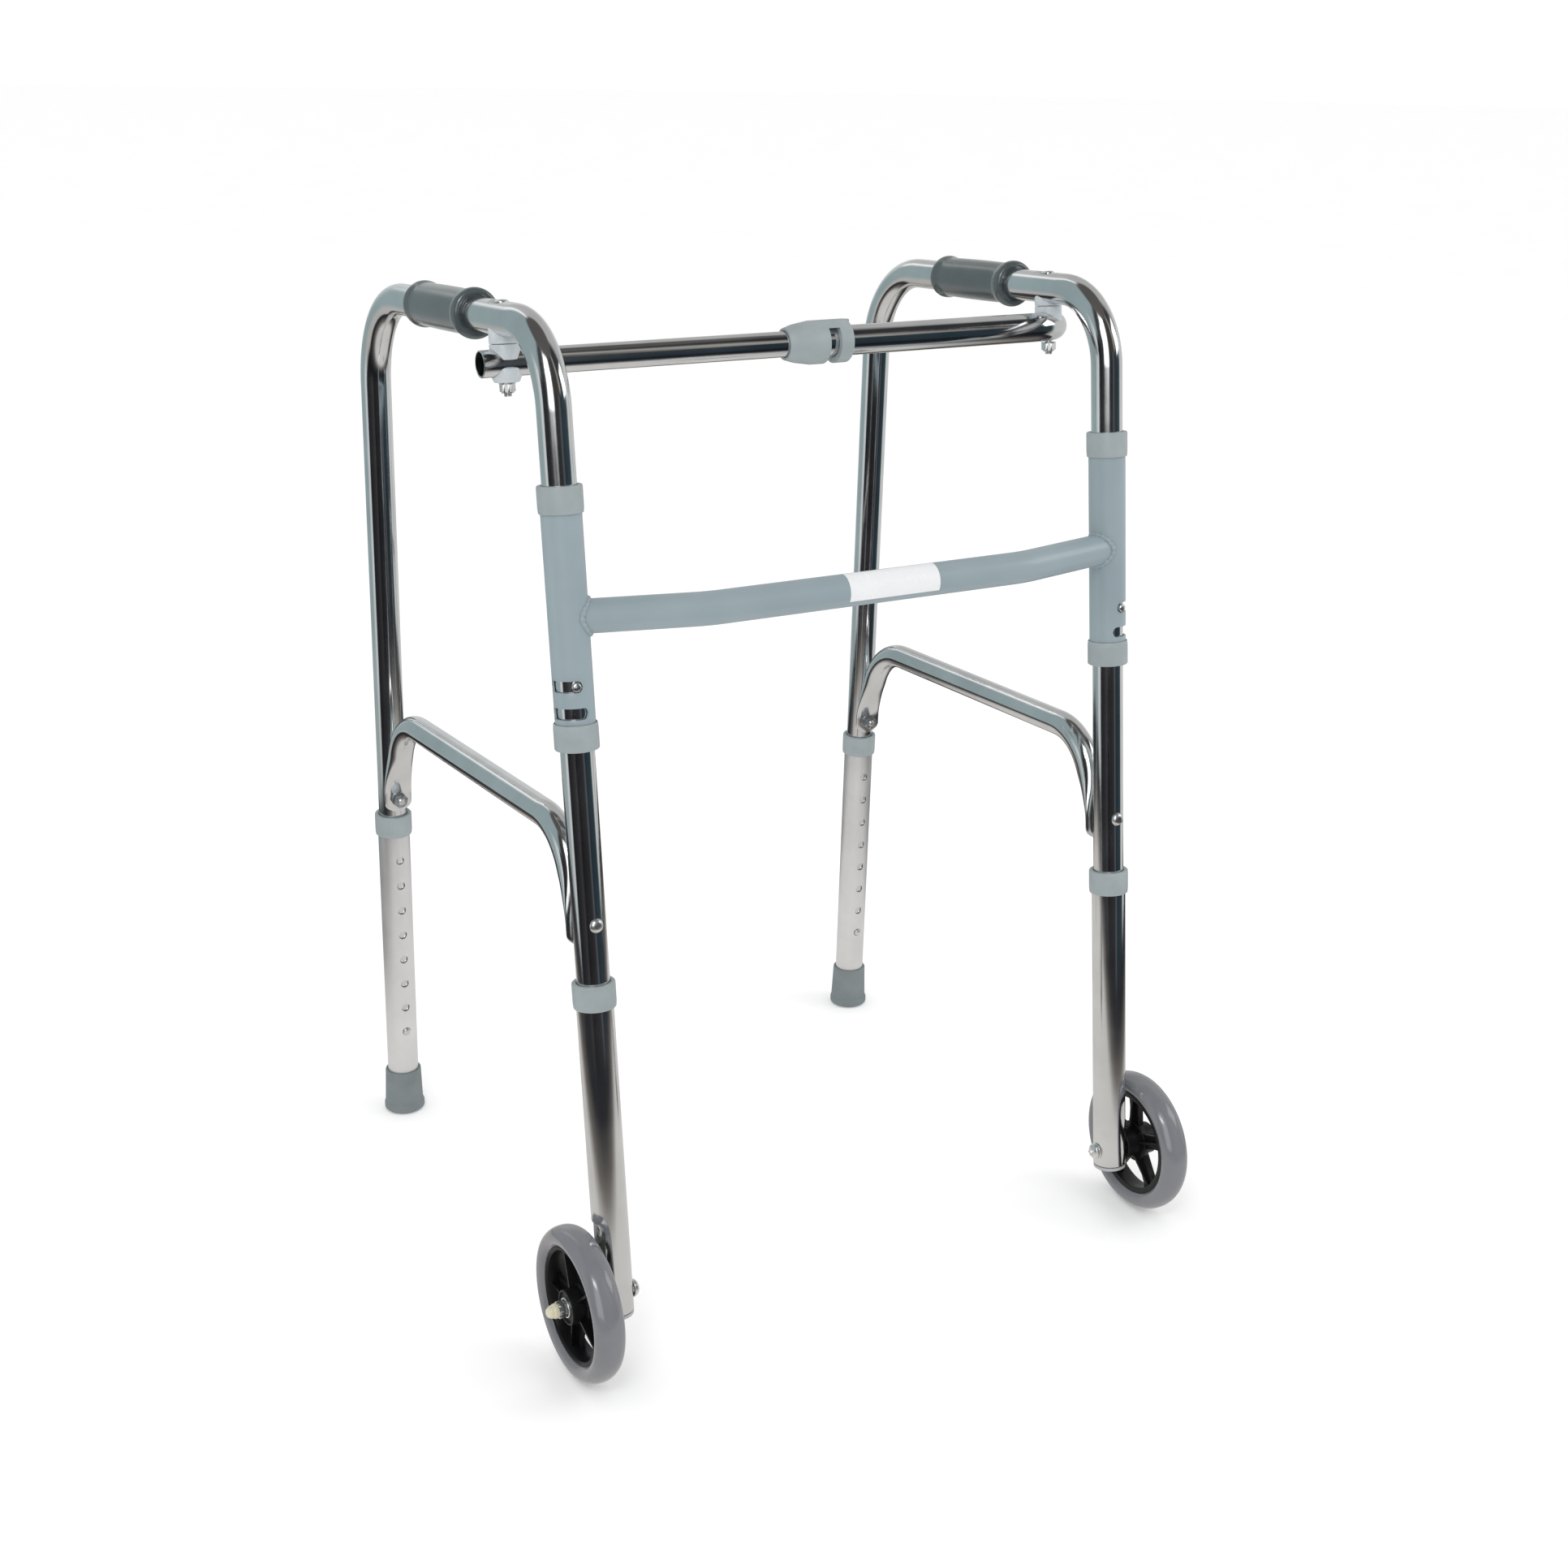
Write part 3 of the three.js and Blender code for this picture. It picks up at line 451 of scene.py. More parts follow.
def adder(side, place, body):
    """A short way to add a side's pieces: their names and nodes start with the side's name."""
    def add(cover, shape, material, node=None, at=place, rides=body, **options):
        nodes = [f"{NAMES[side]}_{node}"] if node else []
        piece(f"{NAMES[side]}_{cover}", shape, at, material, rides, *nodes, **options)
    return add


# ---------- materials ----------
class Graph:
    """A node tree under construction."""

    def __init__(self, tree):
        self.tree = tree

    def add(self, kind, **settings):
        node = self.tree.nodes.new(kind)
        for key, value in settings.items():
            setattr(node, key, value)
        return node

    def link(self, source, target):
        self.tree.links.new(source, target)

    def ranged(self, value, low, high, source=(0.3, 0.7)):
        node = self.add("ShaderNodeMapRange")
        for key, number in zip(("From Min", "From Max", "To Min", "To Max"), (*source, low, high)):
            node.inputs[key].default_value = number
        self.link(value, node.inputs["Value"])
        return node.outputs["Result"]

    def shades(self, value, stops):
        node = self.add("ShaderNodeValToRGB")
        ramp = node.color_ramp
        while len(ramp.elements) < len(stops):
            ramp.elements.new(0.5)
        for element, (position, colour) in zip(ramp.elements, stops):
            element.position, element.color = position, (*colour, 1)
        self.link(value, node.inputs["Fac"])
        return node.outputs["Color"]

    def mixed(self, share, first, second):
        """Goes from first to second, each a colour or an output, as share goes from 0 to 1."""
        node = self.add("ShaderNodeMix", data_type="RGBA")
        self.link(share, node.inputs[0])
        for socket, value in ((node.inputs[6], first), (node.inputs[7], second)):
            if isinstance(value, tuple):
                socket.default_value = (*value, 1)
            else:
                self.link(value, socket)
        return node.outputs[2]


class Surface(Graph):
    """A material: noises on the grain or on object coordinates feed the shader."""

    def __init__(self, name, slot=""):
        self.material = bpy.data.materials.new(name)
        self.material["slot"] = slot
        self.material.use_nodes = True
        super().__init__(self.material.node_tree)
        self.shader = self.tree.nodes["Principled BSDF"]

    def noise(self, source, stretch, detail, roughness):
        mapping, node = self.add("ShaderNodeMapping"), self.add("ShaderNodeTexNoise")
        mapping.inputs["Scale"].default_value = stretch
        self.link(source, mapping.inputs["Vector"])
        for key, number in (("Scale", 1.0), ("Detail", detail), ("Roughness", roughness)):
            node.inputs[key].default_value = number
        self.link(mapping.outputs["Vector"], node.inputs["Vector"])
        return node.outputs["Fac"]

    def streaks(self, stretch, detail, roughness):
        """Noise on the grain, which goes round a tube and along it."""
        source = self.add("ShaderNodeAttribute", attribute_name="grain").outputs["Vector"]
        return self.noise(source, stretch, detail, roughness)

    def clouds(self, stretch, detail, roughness):
        """Noise that is the same in all directions."""
        source = self.add("ShaderNodeTexCoord").outputs["Object"]
        return self.noise(source, (stretch,) * 3, detail, roughness)

    def tint(self, value, dark, light, spread=0.2):
        colour = self.shades(value, [(0.5 - spread, dark), (0.5 + spread, light)])
        self.link(colour, self.shader.inputs["Base Color"])

    def rough(self, value, low, high):
        self.link(self.ranged(value, low, high), self.shader.inputs["Roughness"])

    def bump(self, *heights):
        """Adds bumps, (height output, depth in metres) each, one on top of the other."""
        normal = None
        for height, depth in heights:
            node = self.add("ShaderNodeBump")
            node.inputs["Strength"].default_value = 1.0
            node.inputs["Distance"].default_value = depth
            self.link(height, node.inputs["Height"])
            if normal:
                self.link(normal, node.inputs["Normal"])
            normal = node.outputs["Normal"]
        self.link(normal, self.shader.inputs["Normal"])

    def set(self, **values):
        for key, value in values.items():
            self.shader.inputs[key.replace("_", " ")].default_value = value
        return self.material


def metal(name, slot, dark, light, rough, drawn, scratch=2e-6, metallic=1.0):
    """Drawn tube: fine streaks along its length, faint clouding, a few rubbed patches."""
    build = Surface(name, slot)
    streaks = build.streaks((1.1, 1.1, 0.006), 4, 0.6)
    clouds = build.clouds(22, 3, 0.55)
    fine = build.streaks((3.2, 3.2, 0.02), 2, 0.7)
    build.tint(clouds, dark, light)
    smear = build.add("ShaderNodeMath", operation="MULTIPLY_ADD")
    build.link(build.ranged(streaks, 0, drawn), smear.inputs[0])
    smear.inputs[1].default_value = 1.0
    build.link(build.ranged(clouds, *rough), smear.inputs[2])
    build.link(smear.outputs[0], build.shader.inputs["Roughness"])
    build.bump((fine, scratch))
    return build.set(Metallic=metallic)


def moulded(name, slot, colour, rough, grain=0.6e-4, clouds=0.08, pebble=1400, **extra):
    """Moulded plastic or rubber: faint mottling, a fine pebbled skin, scuffs in the gloss."""
    build = Surface(name, slot)
    low, high = (tuple(c * (1 + change) for c in colour) for change in (-clouds, clouds))
    build.tint(build.clouds(38, 4, 0.55), low, high, 0.18)
    build.rough(build.clouds(90, 5, 0.65), *rough)
    skin, flow = build.clouds(pebble, 2, 0.5), build.clouds(120, 2, 0.5)
    build.bump((flow, grain * 0.8), (skin, grain * 0.25))
    return build.set(**extra)


def powder_coat():
    """Powder paint: orange peel, slight colour drift, a clear skin."""
    build = Surface("powder_coat", "painted_steel")
    drift = build.clouds(14, 3, 0.5)
    build.tint(drift, (0.257, 0.322, 0.350), (0.289, 0.358, 0.388))
    build.rough(drift, 0.34, 0.44)
    build.bump((build.clouds(620, 2, 0.5), 2.2e-5), (build.clouds(2600, 1, 0.5), 4e-6))
    return build.set(Coat_Weight=0.25, Coat_Roughness=0.12)


def plated():
    """Bright zinc plate with a turned finish."""
    build = Surface("plated_steel", "plated_steel")
    spots = build.clouds(300, 4, 0.6)
    build.tint(spots, (0.80, 0.81, 0.81), (0.95, 0.95, 0.95), 0.15)
    build.rough(spots, 0.26, 0.38)
    build.bump((build.streaks((0.15, 0.15, 9), 3, 0.6), 6e-6))
    return build.set(Metallic=1.0)


def pale_nylon():
    """Milky nylon with a soft sheen."""
    build = Surface("milky_nylon", "pale_plastic")
    haze = build.clouds(160, 3, 0.5)
    build.tint(haze, (0.52, 0.57, 0.60), (0.58, 0.63, 0.66))
    build.rough(haze, 0.24, 0.36)
    build.bump((haze, 2e-5))
    return build.set(Coat_Weight=0.2, Coat_Roughness=0.1)


ALUMINIUM = metal("polished_aluminium", "polished_aluminium",
                  (0.74, 0.75, 0.76), (0.86, 0.87, 0.88), (0.07, 0.12), 0.06)
SATIN = metal("satin_aluminium", "satin_aluminium",
              (0.82, 0.82, 0.82), (0.92, 0.92, 0.92), (0.27, 0.34), 0.10, 4e-6, 0.8)
PAINT = powder_coat()
GREY = moulded("grey_plastic", "grey_plastic", (0.305, 0.348, 0.357), (0.36, 0.48))
NYLON = pale_nylon()
VINYL = moulded("grip_vinyl", "grip_vinyl", (0.067, 0.083, 0.087), (0.17, 0.26), 0.4e-4, 0.06, 700,
                Coat_Weight=0.6, Coat_Roughness=0.12)
RUBBER = moulded("foot_rubber", "foot_rubber", (0.185, 0.215, 0.222), (0.55, 0.72), 1.2e-4, 0.1, 1800)
TYRE = moulded("tyre_rubber", "tyre_rubber", (0.183, 0.187, 0.203), (0.13, 0.20), 0.2e-4, 0.05, 2200,
               Coat_Weight=0.4, Coat_Roughness=0.08)
BLACK = moulded("black_nylon", "black_plastic", (0.006, 0.006, 0.007), (0.30, 0.44), 0.8e-4, 0.2,
                Specular_IOR_Level=0.28)
PLUG = moulded("pale_grey_plastic", "grey_plastic", (0.40, 0.42, 0.42), (0.34, 0.46))
CREAM = moulded("cream_cap", "pale_plastic", (0.66, 0.63, 0.46), (0.30, 0.42), 0.5e-4, 0.05)
LABEL = moulded("white_label", "pale_plastic", (0.78, 0.79, 0.80), (0.22, 0.30), 0.1e-4, 0.02)
CHROME = plated()
ZINC = metal("dull_zinc", "plated_steel", (0.40, 0.43, 0.45), (0.52, 0.55, 0.57), (0.30, 0.42), 0.05)


# ---------- front frame ----------
def end_cap(wrap_bore):
    """A plastic cap over a tube end: a band, a soft shoulder and a lip that runs on the tube inside."""
    wrap = CAP_HEIGHT / 2
    return revolve(rounded([
        (wrap_bore, 0), (CAP_R - 0.35, 0, 0.5), (CAP_R, 4, 3), (CAP_R, CAP_HEIGHT, 1.3),
        (CAP_BORE, CAP_HEIGHT, 0.7), (CAP_BORE, wrap), (wrap_bore, wrap),
    ], 5), 64)


def slot_tool(side, height, start):
    """A band round the sleeve with round ends; angles are outboard from the front."""
    half, skin = SLOT_HEIGHT / 2, Skin()
    round_angle = half / SLEEVE_R / DEG
    for angle in np.linspace(start, SLOT_END, 60):
        inside = min(angle - start, SLOT_END - angle)
        share = max(0.0, 1 - max(0.0, 1 - inside / round_angle) ** 2)
        reach, way = max(0.05, half * math.sqrt(share)), (-90 + side * angle) * DEG
        skin.ring([(radius * math.cos(way), radius * math.sin(way), up_front(height) + z)
                   for radius, z in ((SLEEVE_BORE - 3, -reach), (SLEEVE_R + 3, -reach),
                                     (SLEEVE_R + 3, reach), (SLEEVE_BORE - 3, reach))])
    return skin.shape(closed=False)


def sleeve_hit(start, direction, side):
    """Where a line from start along direction meets the sleeve's outside."""
    from_axis = start - vec(side * LEG_X, 0, 0)
    a = direction - FRONT_UP * (direction @ FRONT_UP)
    b = from_axis - FRONT_UP * (from_axis @ FRONT_UP)
    inside = (a @ b) ** 2 - (a @ a) * (b @ b - (SLEEVE_R - 0.2) ** 2)
    return start - direction * (a @ b + math.sqrt(max(inside, 0))) / (a @ a)


def crossbar(place):
    """The bowed bar, its ends cut back to the sleeves' outsides and welded to them."""
    y, run_up = CROSSBAR_Z * math.tan(FRONT_LEAN), 60
    ends = [vec(side * LEG_X, y, CROSSBAR_Z) for side in NAMES]
    bends = [vec(side * CROSSBAR_BEND_X, y - CROSSBAR_BOW, CROSSBAR_Z) for side in NAMES]
    shape = tube([ends[0], *bends, ends[1]], [CROSSBAR_BEND] * 2, CROSSBAR_R, CROSSBAR_R - 1.5, UP, 56)
    beads = []
    for side, end, bend in zip(NAMES, ends, bends):
        outward = unit(end - bend)
        for i in np.where(np.abs(shape.points[:, 0] - end[0]) < run_up / 2)[0]:
            offset = shape.points[i] - end
            start = end - outward * run_up + offset - outward * (offset @ outward)
            limit = sleeve_hit(start, outward, side)
            if (shape.points[i] - limit) @ outward > 0:
                shape.points[i] = limit
        beads.append(weld_bead(side, end - outward * run_up, outward))
    piece("crossbar_tube", shape, place, PAINT, "front_frame", "crossbar")
    for name, bead in zip(NAMES.values(), beads):
        piece(f"{name}_weld", bead, place, PAINT, "front_frame", sharp=70)


def weld_bead(side, centre, outward):
    """A rippled fillet where the crossbar meets the sleeve."""
    rng = np.random.default_rng(7 if side > 0 else 11)
    sides, around, bead = 8, 120, 2.6
    flank = np.cross(UP, outward)
    radials = [flank * c + UP * s for c, s in circle(1, around)]
    line = [sleeve_hit(centre + radial * CROSSBAR_R, outward, side) for radial in radials]
    ripple = np.convolve(rng.normal(0, 1, around + 8), np.ones(5) / 5, "same")[4:-4]
    skin = Skin()
    for i, (point, radial) in enumerate(zip(line, radials)):
        depth = np.cross(unit(line[(i + 1) % around] - line[i - 1]), radial)
        radius = bead * (0.86 + 0.12 * math.sin(i * 2 * math.pi / 6) + 0.12 * ripple[i])
        skin.ring([point + radial * c + depth * s for c, s in circle(radius, sides)])
    return skin.shape()


def blank_label(place):
    """A thin blank sticker wrapped over the front of the crossbar."""
    y = CROSSBAR_Z * math.tan(FRONT_LEAN) - CROSSBAR_BOW
    radius, thick, right, left = CROSSBAR_R + 0.08, 0.12, -26, 54
    angles, skin = np.linspace(-28, 92, 25) * DEG, Skin()
    for x in np.linspace(right, left, 17):
        skin.ring([(x, y - (radius + t) * math.cos(a), CROSSBAR_Z + (radius + t) * math.sin(a))
                   for t, way in ((thick, angles), (0, angles[::-1])) for a in way])
    piece("blank_label", skin.shape(closed=False), place, LABEL, "front_frame")


def front_frame():
    middle = shift(LEG_X * MM) @ leg_axis(RIGHT, 0) @ turn(FRONT_LEAN, "X")
    crossbar(middle)
    blank_label(middle)
    low, high = up_front(SLEEVE_BOTTOM), up_front(SLEEVE_TOP)
    for side in NAMES:
        place = leg_axis(side, 0)
        add = adder(side, place, "front_frame")
        shape = tube([UP * (low - SLEEVE_HIDDEN), UP * (high + SLEEVE_HIDDEN)], [],
                     SLEEVE_R, SLEEVE_BORE, ACROSS, 72)
        cuts = [slot_tool(side, z, start) for z, start in SLOTS]
        add("front_sleeve", shape, PAINT, "sleeve", cuts=cuts, bevel=0.35)
        cap = end_cap(SLEEVE_R + 0.5)
        add("upper_cap", cap, GREY, "upper_bush", at=place @ shift(z=high))
        add("lower_cap", cap, GREY, "lower_bush", at=place @ shift(z=low) @ turn(math.pi, "X"))


# ---------- side frames ----------
def seat_for_screw(shape):
    """The handle is pressed flat where the screw head sits, and is round again a little way out."""
    flat, flat_reach, fade, dent_reach = 10.9, 7.2, 4.5, 13
    offset = shape.points - (FRONT_BACK * PIVOT_REACH + FRONT_UP * HANDLE_HEIGHT)
    height, reach = offset @ FRONT_UP, np.hypot(offset @ FRONT_BACK, offset[:, 0])
    limit = flat + 2.4 * np.clip((reach - flat_reach) / fade, 0, 1) ** 2
    pressed = (height > 5) & (reach < dent_reach) & (height > limit)
    shape.points = shape.points - np.outer(np.where(pressed, height - limit, 0.0), FRONT_UP)
    return shape


def side_tube():
    corners = [
        front_at(TUBE_FRONT_END),
        meets_falling_line(front_at(0), FRONT_UP, HANDLE_Z),
        meets_falling_line(rear_at(0), REAR_UP, HANDLE_Z),
        rear_at(TUBE_REAR_END),
    ]
    shape = tube(corners, [FRONT_BEND, REAR_BEND], TUBE_R, TUBE_BORE, ACROSS, 64, straight=2.0)
    return seat_for_screw(shape)


def grip_shape():
    """A soft sleeve with flared round collars, the front one larger."""
    length = (GRIP_TO - GRIP_FROM) / math.cos(HANDLE_DROP)
    bore = TUBE_R + 0.02
    outside = smooth_line([
        (13.4, 1.2), (15.6, 0.2), (17.9, 1.3), (19.1, 4.0), (19.0, 7.4), (18.0, 10.4), (17.0, 13),
        (16.8, 18), (17.0, 34), (17.1, 56), (17.0, 80), (16.8, length - 17), (17.0, length - 11.5),
        (17.8, length - 8), (18.2, length - 4.6), (17.4, length - 1.4), (15.6, length - 0.2),
        (13.4, length - 0.8),
    ], 5)
    return revolve([(bore, 1.4)] + outside + [(bore, length - 1.0)], 72)


def brace_shape():
    """A tube whose two ends are pressed flat against the legs."""
    stand_off = TUBE_R + BRACE_FLAT["gap"] + BRACE_R
    front_start = front_at(BRACE_FRONT["end"]) + FRONT_BACK * stand_off
    rear_start = rear_at(BRACE_REAR["end"]) - REAR_BACK * stand_off
    corners = [front_start, meets_falling_line(front_start, FRONT_UP, BRACE_Z),
               meets_falling_line(rear_start, REAR_UP, BRACE_Z), rear_start]
    shape_line = route(corners, list(BRACE_BENDS), straight=2.0)
    length, sides = shape_line[-1][2], 48
    blend, toe = BRACE_FLAT["blend"], BRACE_FLAT["toe"]
    front_run = (BRACE_FRONT["round"] - BRACE_FRONT["end"]) / math.cos(FRONT_LEAN)
    rear_run = (BRACE_REAR["round"] - BRACE_REAR["end"]) / math.cos(REAR_LEAN)
    ring, skin = circle(1, sides), Skin()
    for wall, line in ((0.0, shape_line), (BRACE_R - BRACE_BORE, shape_line[::-1])):
        for point, heading, distance in line:
            near = max(front_run - distance, rear_run - (length - distance)) / blend
            t = min(1.0, max(0.0, near))
            flat = t * t * (3 - 2 * t)
            half_w = BRACE_R + (BRACE_FLAT["half_width"] - BRACE_R) * flat
            half_t = BRACE_R + (BRACE_FLAT["half_thickness"] - BRACE_R) * flat
            from_end = min(distance, length - distance)
            if from_end < toe:
                half_w *= math.sqrt(max(0.12, 1 - (1 - from_end / toe) ** 2))
            toward_leg = FRONT_BACK if distance < length / 2 else -REAR_BACK
            middle = point - toward_leg * (BRACE_R - half_t)
            c, s = (np.sign(part) * np.abs(part) ** power * (half - min(wall, half - 0.25))
                    for part, power, half in ((ring[:, 0], 1 - 0.45 * flat, half_t),
                                              (ring[:, 1], 1 - 0.25 * flat, half_w)))
            skin.ring(middle + c[:, None] * np.cross(ACROSS, heading) + s[:, None] * ACROSS,
                      np.hstack([ring * BRACE_R, np.full((sides, 1), distance)]))
    return skin.shape()


def rivet_shape():
    """Domed head in front, shank, and a spread tail behind the strap."""
    face, tail = TUBE_R + 0.1, STRAP_FACE + 1.6
    dome = smooth_line([(0.001, -face - 3), (2.6, -face - 2.7), (4.6, -face - 1.6), (5.5, -face)], 5)
    return revolve([(0, -face - 3)] + dome[1:] + rounded([
        (3, -face), (3, STRAP_FACE), (5, STRAP_FACE, 0.5), (5, tail, 0.9), (0.001, tail)], 3)[:-1]
        + [(0, tail)], 40)


def button_shape(top):
    """A spring button, and the leaf of its clip inside the tube."""
    foot, radius = 9.9, BUTTON_R
    dome = smooth_line([(radius, top - 2.4), (radius * 0.95, top - 1.4), (radius * 0.7, top - 0.5),
                        (0.001, top)], 5)
    button = revolve([(0, foot), (radius, foot)] + dome[:-1] + [(0, top)], 40)
    return button + block(8, 34, 0.8, (0, 11, 10.4))


def screw_head(radius, height, seat):
    """A pan head that faces down the axis, seated at -seat."""
    return pan_head(radius, height).moved(turn(math.pi, "X") @ shift(z=seat))


def cross_recess(depth, size, reach, face):
    """Tools for the cross in a screw's head."""
    bars = (block(size, 2 * reach, 2 * depth), block(2 * reach, size, 2 * depth))
    return [bar.moved(shift(z=face)) for bar in bars]


def side_frame(side):
    name, place, body = NAMES[side], upright(side), f"{NAMES[side]}_side_frame"
    add = adder(side, place, body)
    add("frame_tube", side_tube(), ALUMINIUM, "side_tube")
    start = vec(0, GRIP_FROM, HANDLE_Z - GRIP_FROM * math.tan(HANDLE_DROP))
    add("grip", grip_shape(), VINYL, "hand_grip", at=place @ along(start, HANDLE_BACK, ACROSS), sharp=60)
    add("brace_tube", brace_shape(), ALUMINIUM, "brace", sharp=50)

    front_pin = place @ along(front_at(BRACE_FRONT["pin"]), FRONT_BACK)
    add("rivet", rivet_shape(), CHROME, "brace_rivet", at=front_pin)
    rear_pin = place @ along(rear_at(BRACE_REAR["pin"]), -REAR_BACK)
    screw = disc(3, -TUBE_R - 1, STRAP_FACE + 8, 0.2, sides=32)
    screw += thread(3.05, STRAP_FACE + 5.6, STRAP_FACE + 8.4) + screw_head(6, 3.4, TUBE_R + 0.1)
    add("brace_screw", screw, CHROME, "brace_bolt", at=rear_pin)
    add("brace_washer", disc(6.6, STRAP_FACE, STRAP_FACE + 0.9, 0.3, 3.1), ZINC, at=rear_pin)
    add("brace_nut", hexagon(12, 5.6, 3.1).moved(shift(z=STRAP_FACE + 0.95)), ZINC, at=rear_pin)

    tilt = -90 * DEG + side * BUTTON_TILT
    outward = vec(math.cos(tilt), 0, 0) + FRONT_BACK * math.sin(tilt)
    for cover, node, origin, way, up, top in (
            ("fold", "sleeve", front_at(SLOTS[0][0]), outward, FRONT_UP, SLEEVE_R + 2.4),
            ("front_height", "front_leg", front_at(FRONT_FIRST_HOLE), FRONT_BACK, FRONT_UP, LEG_R + 2),
            ("rear_height", "rear_leg", rear_at(REAR_FIRST_HOLE), -REAR_BACK, REAR_UP, LEG_R + 2)):
        add(f"{cover}_button", button_shape(top), CHROME, f"{node}_button",
            at=place @ along(origin, way, np.cross(up, way)), rides=f"{name}_{node}_button")


# ---------- telescopic legs ----------
def pressed_flat(shape, side, offset, top=None):
    """Presses the outboard face flat, below a short shoulder and with a small dimple under it."""
    x, y, z = shape.points[:, 0] * side, shape.points[:, 1], shape.points[:, 2]
    limit = np.full(len(x), float(offset))
    if top:
        t = np.clip((z - top) / 3, 0, 1)
        dimple = np.exp(-((y - 1) ** 2 + (z - top + 7) ** 2) / 9)
        wall = np.where(np.hypot(x, y) < (LEG_R + LEG_BORE) / 2, LEG_R - LEG_BORE, 0)
        limit += (LEG_R - offset + 0.5) * t * t * (3 - 2 * t) - dimple - wall
    shape.points[:, 0] = side * np.minimum(x, limit)
    return shape


def height_holes(count, lowest, up, way):
    """Tools for a row of holes that starts at the point lowest."""
    return [disc(HOLE_R, 5, 20, 0.01, sides=28).moved(along(lowest + up * i * HOLE_PITCH, way))
            for i in range(count)]


def front_leg(side):
    place = leg_axis(side)
    add = adder(side, place, f"{NAMES[side]}_front_leg")
    low, high = up_front(FRONT_LEG_END), up_front(FRONT_LEG_TOP)
    outer = tube([UP * low, UP * high], [], LEG_R, LEG_BORE, ACROSS, 96, straight=1.5)
    pressed_flat(outer, side, FLAT_OFFSET, up_front(FLAT_TOP))
    add("front_extension", outer, ALUMINIUM, "front_leg_tube",
        cuts=height_holes(FRONT_HOLES, UP * up_front(FRONT_FIRST_HOLE), UP, (0, 1, 0)))
    add("front_collar", end_cap(LEG_R + 0.5), GREY, "front_leg_collar",
        at=place @ shift(z=high + LEG_CAP_RISE - CAP_HEIGHT))
    rim = revolve(rounded([(0, low - 3.9), (LEG_R - 0.2, low - 3.9, 1.1), (LEG_R - 0.2, low - 0.8, 0.4),
                           (LEG_BORE - 0.6, low - 0.8), (LEG_BORE - 0.6, low + 8), (0, low + 8)]), 96)
    stem = rim.points[:, 2] > low - 0.9
    rim.points[stem, 0] = side * np.minimum(rim.points[stem, 0] * side, FLAT_OFFSET - 1.6)
    add("leg_end_plug", pressed_flat(rim, side, FLAT_OFFSET - 0.2), PLUG, "wheel_leg_plug")


def rear_leg(side):
    place = upright(side)
    add = adder(side, place, f"{NAMES[side]}_rear_leg")
    shape = tube([rear_at(REAR_LEG_END), rear_at(REAR_LEG_TOP)], [], LEG_R, LEG_BORE, ACROSS, 72)
    add("rear_extension", shape, SATIN, "rear_leg_tube",
        cuts=height_holes(REAR_HOLES, rear_at(REAR_FIRST_HOLE), REAR_UP, -REAR_BACK))
    seat = rear_at(REAR_LEG_TOP) + REAR_UP * (LEG_CAP_RISE - CAP_HEIGHT)
    add("rear_collar", end_cap(LEG_R + 0.5), GREY, "rear_leg_collar",
        at=place @ along(seat, REAR_UP, ACROSS))
    floor = 7.6
    shape = revolve(rounded([
        (0, 0), (17.2, 0, 0.8), (19, 1.6, 0.9), (19, 6.2, 1.6), (17.9, 8.4, 1.4),
        (16.7, FOOT_HEIGHT, 1.2), (LEG_R + 0.15, FOOT_HEIGHT, 0.5), (LEG_R + 0.15, floor), (0, floor),
    ], 5), 72)
    height = shape.points[:, 2]
    shape.points[:, 1] -= (height - FOOT_HEIGHT / 2) * math.tan(REAR_LEAN) * (height > 7)
    add("rubber_foot", shape, RUBBER, "foot", at=place @ shift(y=rear_at(FOOT_HEIGHT / 2)[1]))


# ---------- wheels, with outboard along z ----------
def tyre_shape():
    """A solid tyre: a round tread and full sidewalls that tuck in to the rim."""
    half = [(BEAD_R, 8.6), (48.2, 10.0), (50.2, 11.6), (52.8, 12.4), (55.2, 12.3), (58.2, 10.6),
            (60.6, 7.2), (61.8, 3.6)]
    knots = [(r, -z) for r, z in half] + [(TYRE_R, 0)] + half[::-1]
    return revolve(smooth_line(knots, 4), 144)


def spoke(angle):
    """A tapered web, and the rib along its middle that stands up on both sides."""
    outline = [(11, -8.5), (20, -6.4), (30, -6.0), (38, -7.2), (43.5, -10),
               (43.5, 10), (38, 7.2), (30, 6.0), (20, 6.4), (11, 8.5)]
    web = prism(outline, -3.6, -0.6)
    rib = prism([(12, -1.1), (43.5, -0.8), (43.5, 0.8), (12, 1.1)], -8.0, 5.2)
    slope = np.clip((rib.points[:, 0] - 12) / 31, 0, 1)
    rib.points[:, 2] = np.where(rib.points[:, 2] > 0, 6.2 - 1.6 * slope, -9.0 + 3.4 * slope)
    return [part.moved(turn(angle, "Z")) for part in (web, rib)]


def hub_shape(phase):
    """The hub's overlapping parts, the rim first."""
    rim = revolve(rounded([
        (41.6, -8.6, 0.5), (46.9, -8.8, 0.6), (46.9, 8.8, 0.6), (44.9, 9.0, 0.5), (43.5, 7.6, 0.8),
        (42.0, 1.0), (42.0, -3.0)], 3), 120)
    boss = revolve(rounded([
        (8.2, -18.5), (13.2, -18.5, 0.8), (13.8, -6, 2), (14.2, 2, 2), (13.9, BOSS_FACE, 0.6),
        (12.5, BOSS_FACE, 0.4), (12.1, BOSS_FACE - 1.7, 0.3), (8.2, BOSS_FACE - 1.7)], 4), 72)
    collar = revolve(rounded([(13.2, -5), (18.4, -5, 0.6), (17.6, 0.6, 0.6), (13.2, 1.2)], 3), 72)
    return [rim, boss, collar] + [part for i in range(5) for part in spoke((phase + 72 * i) * DEG)]


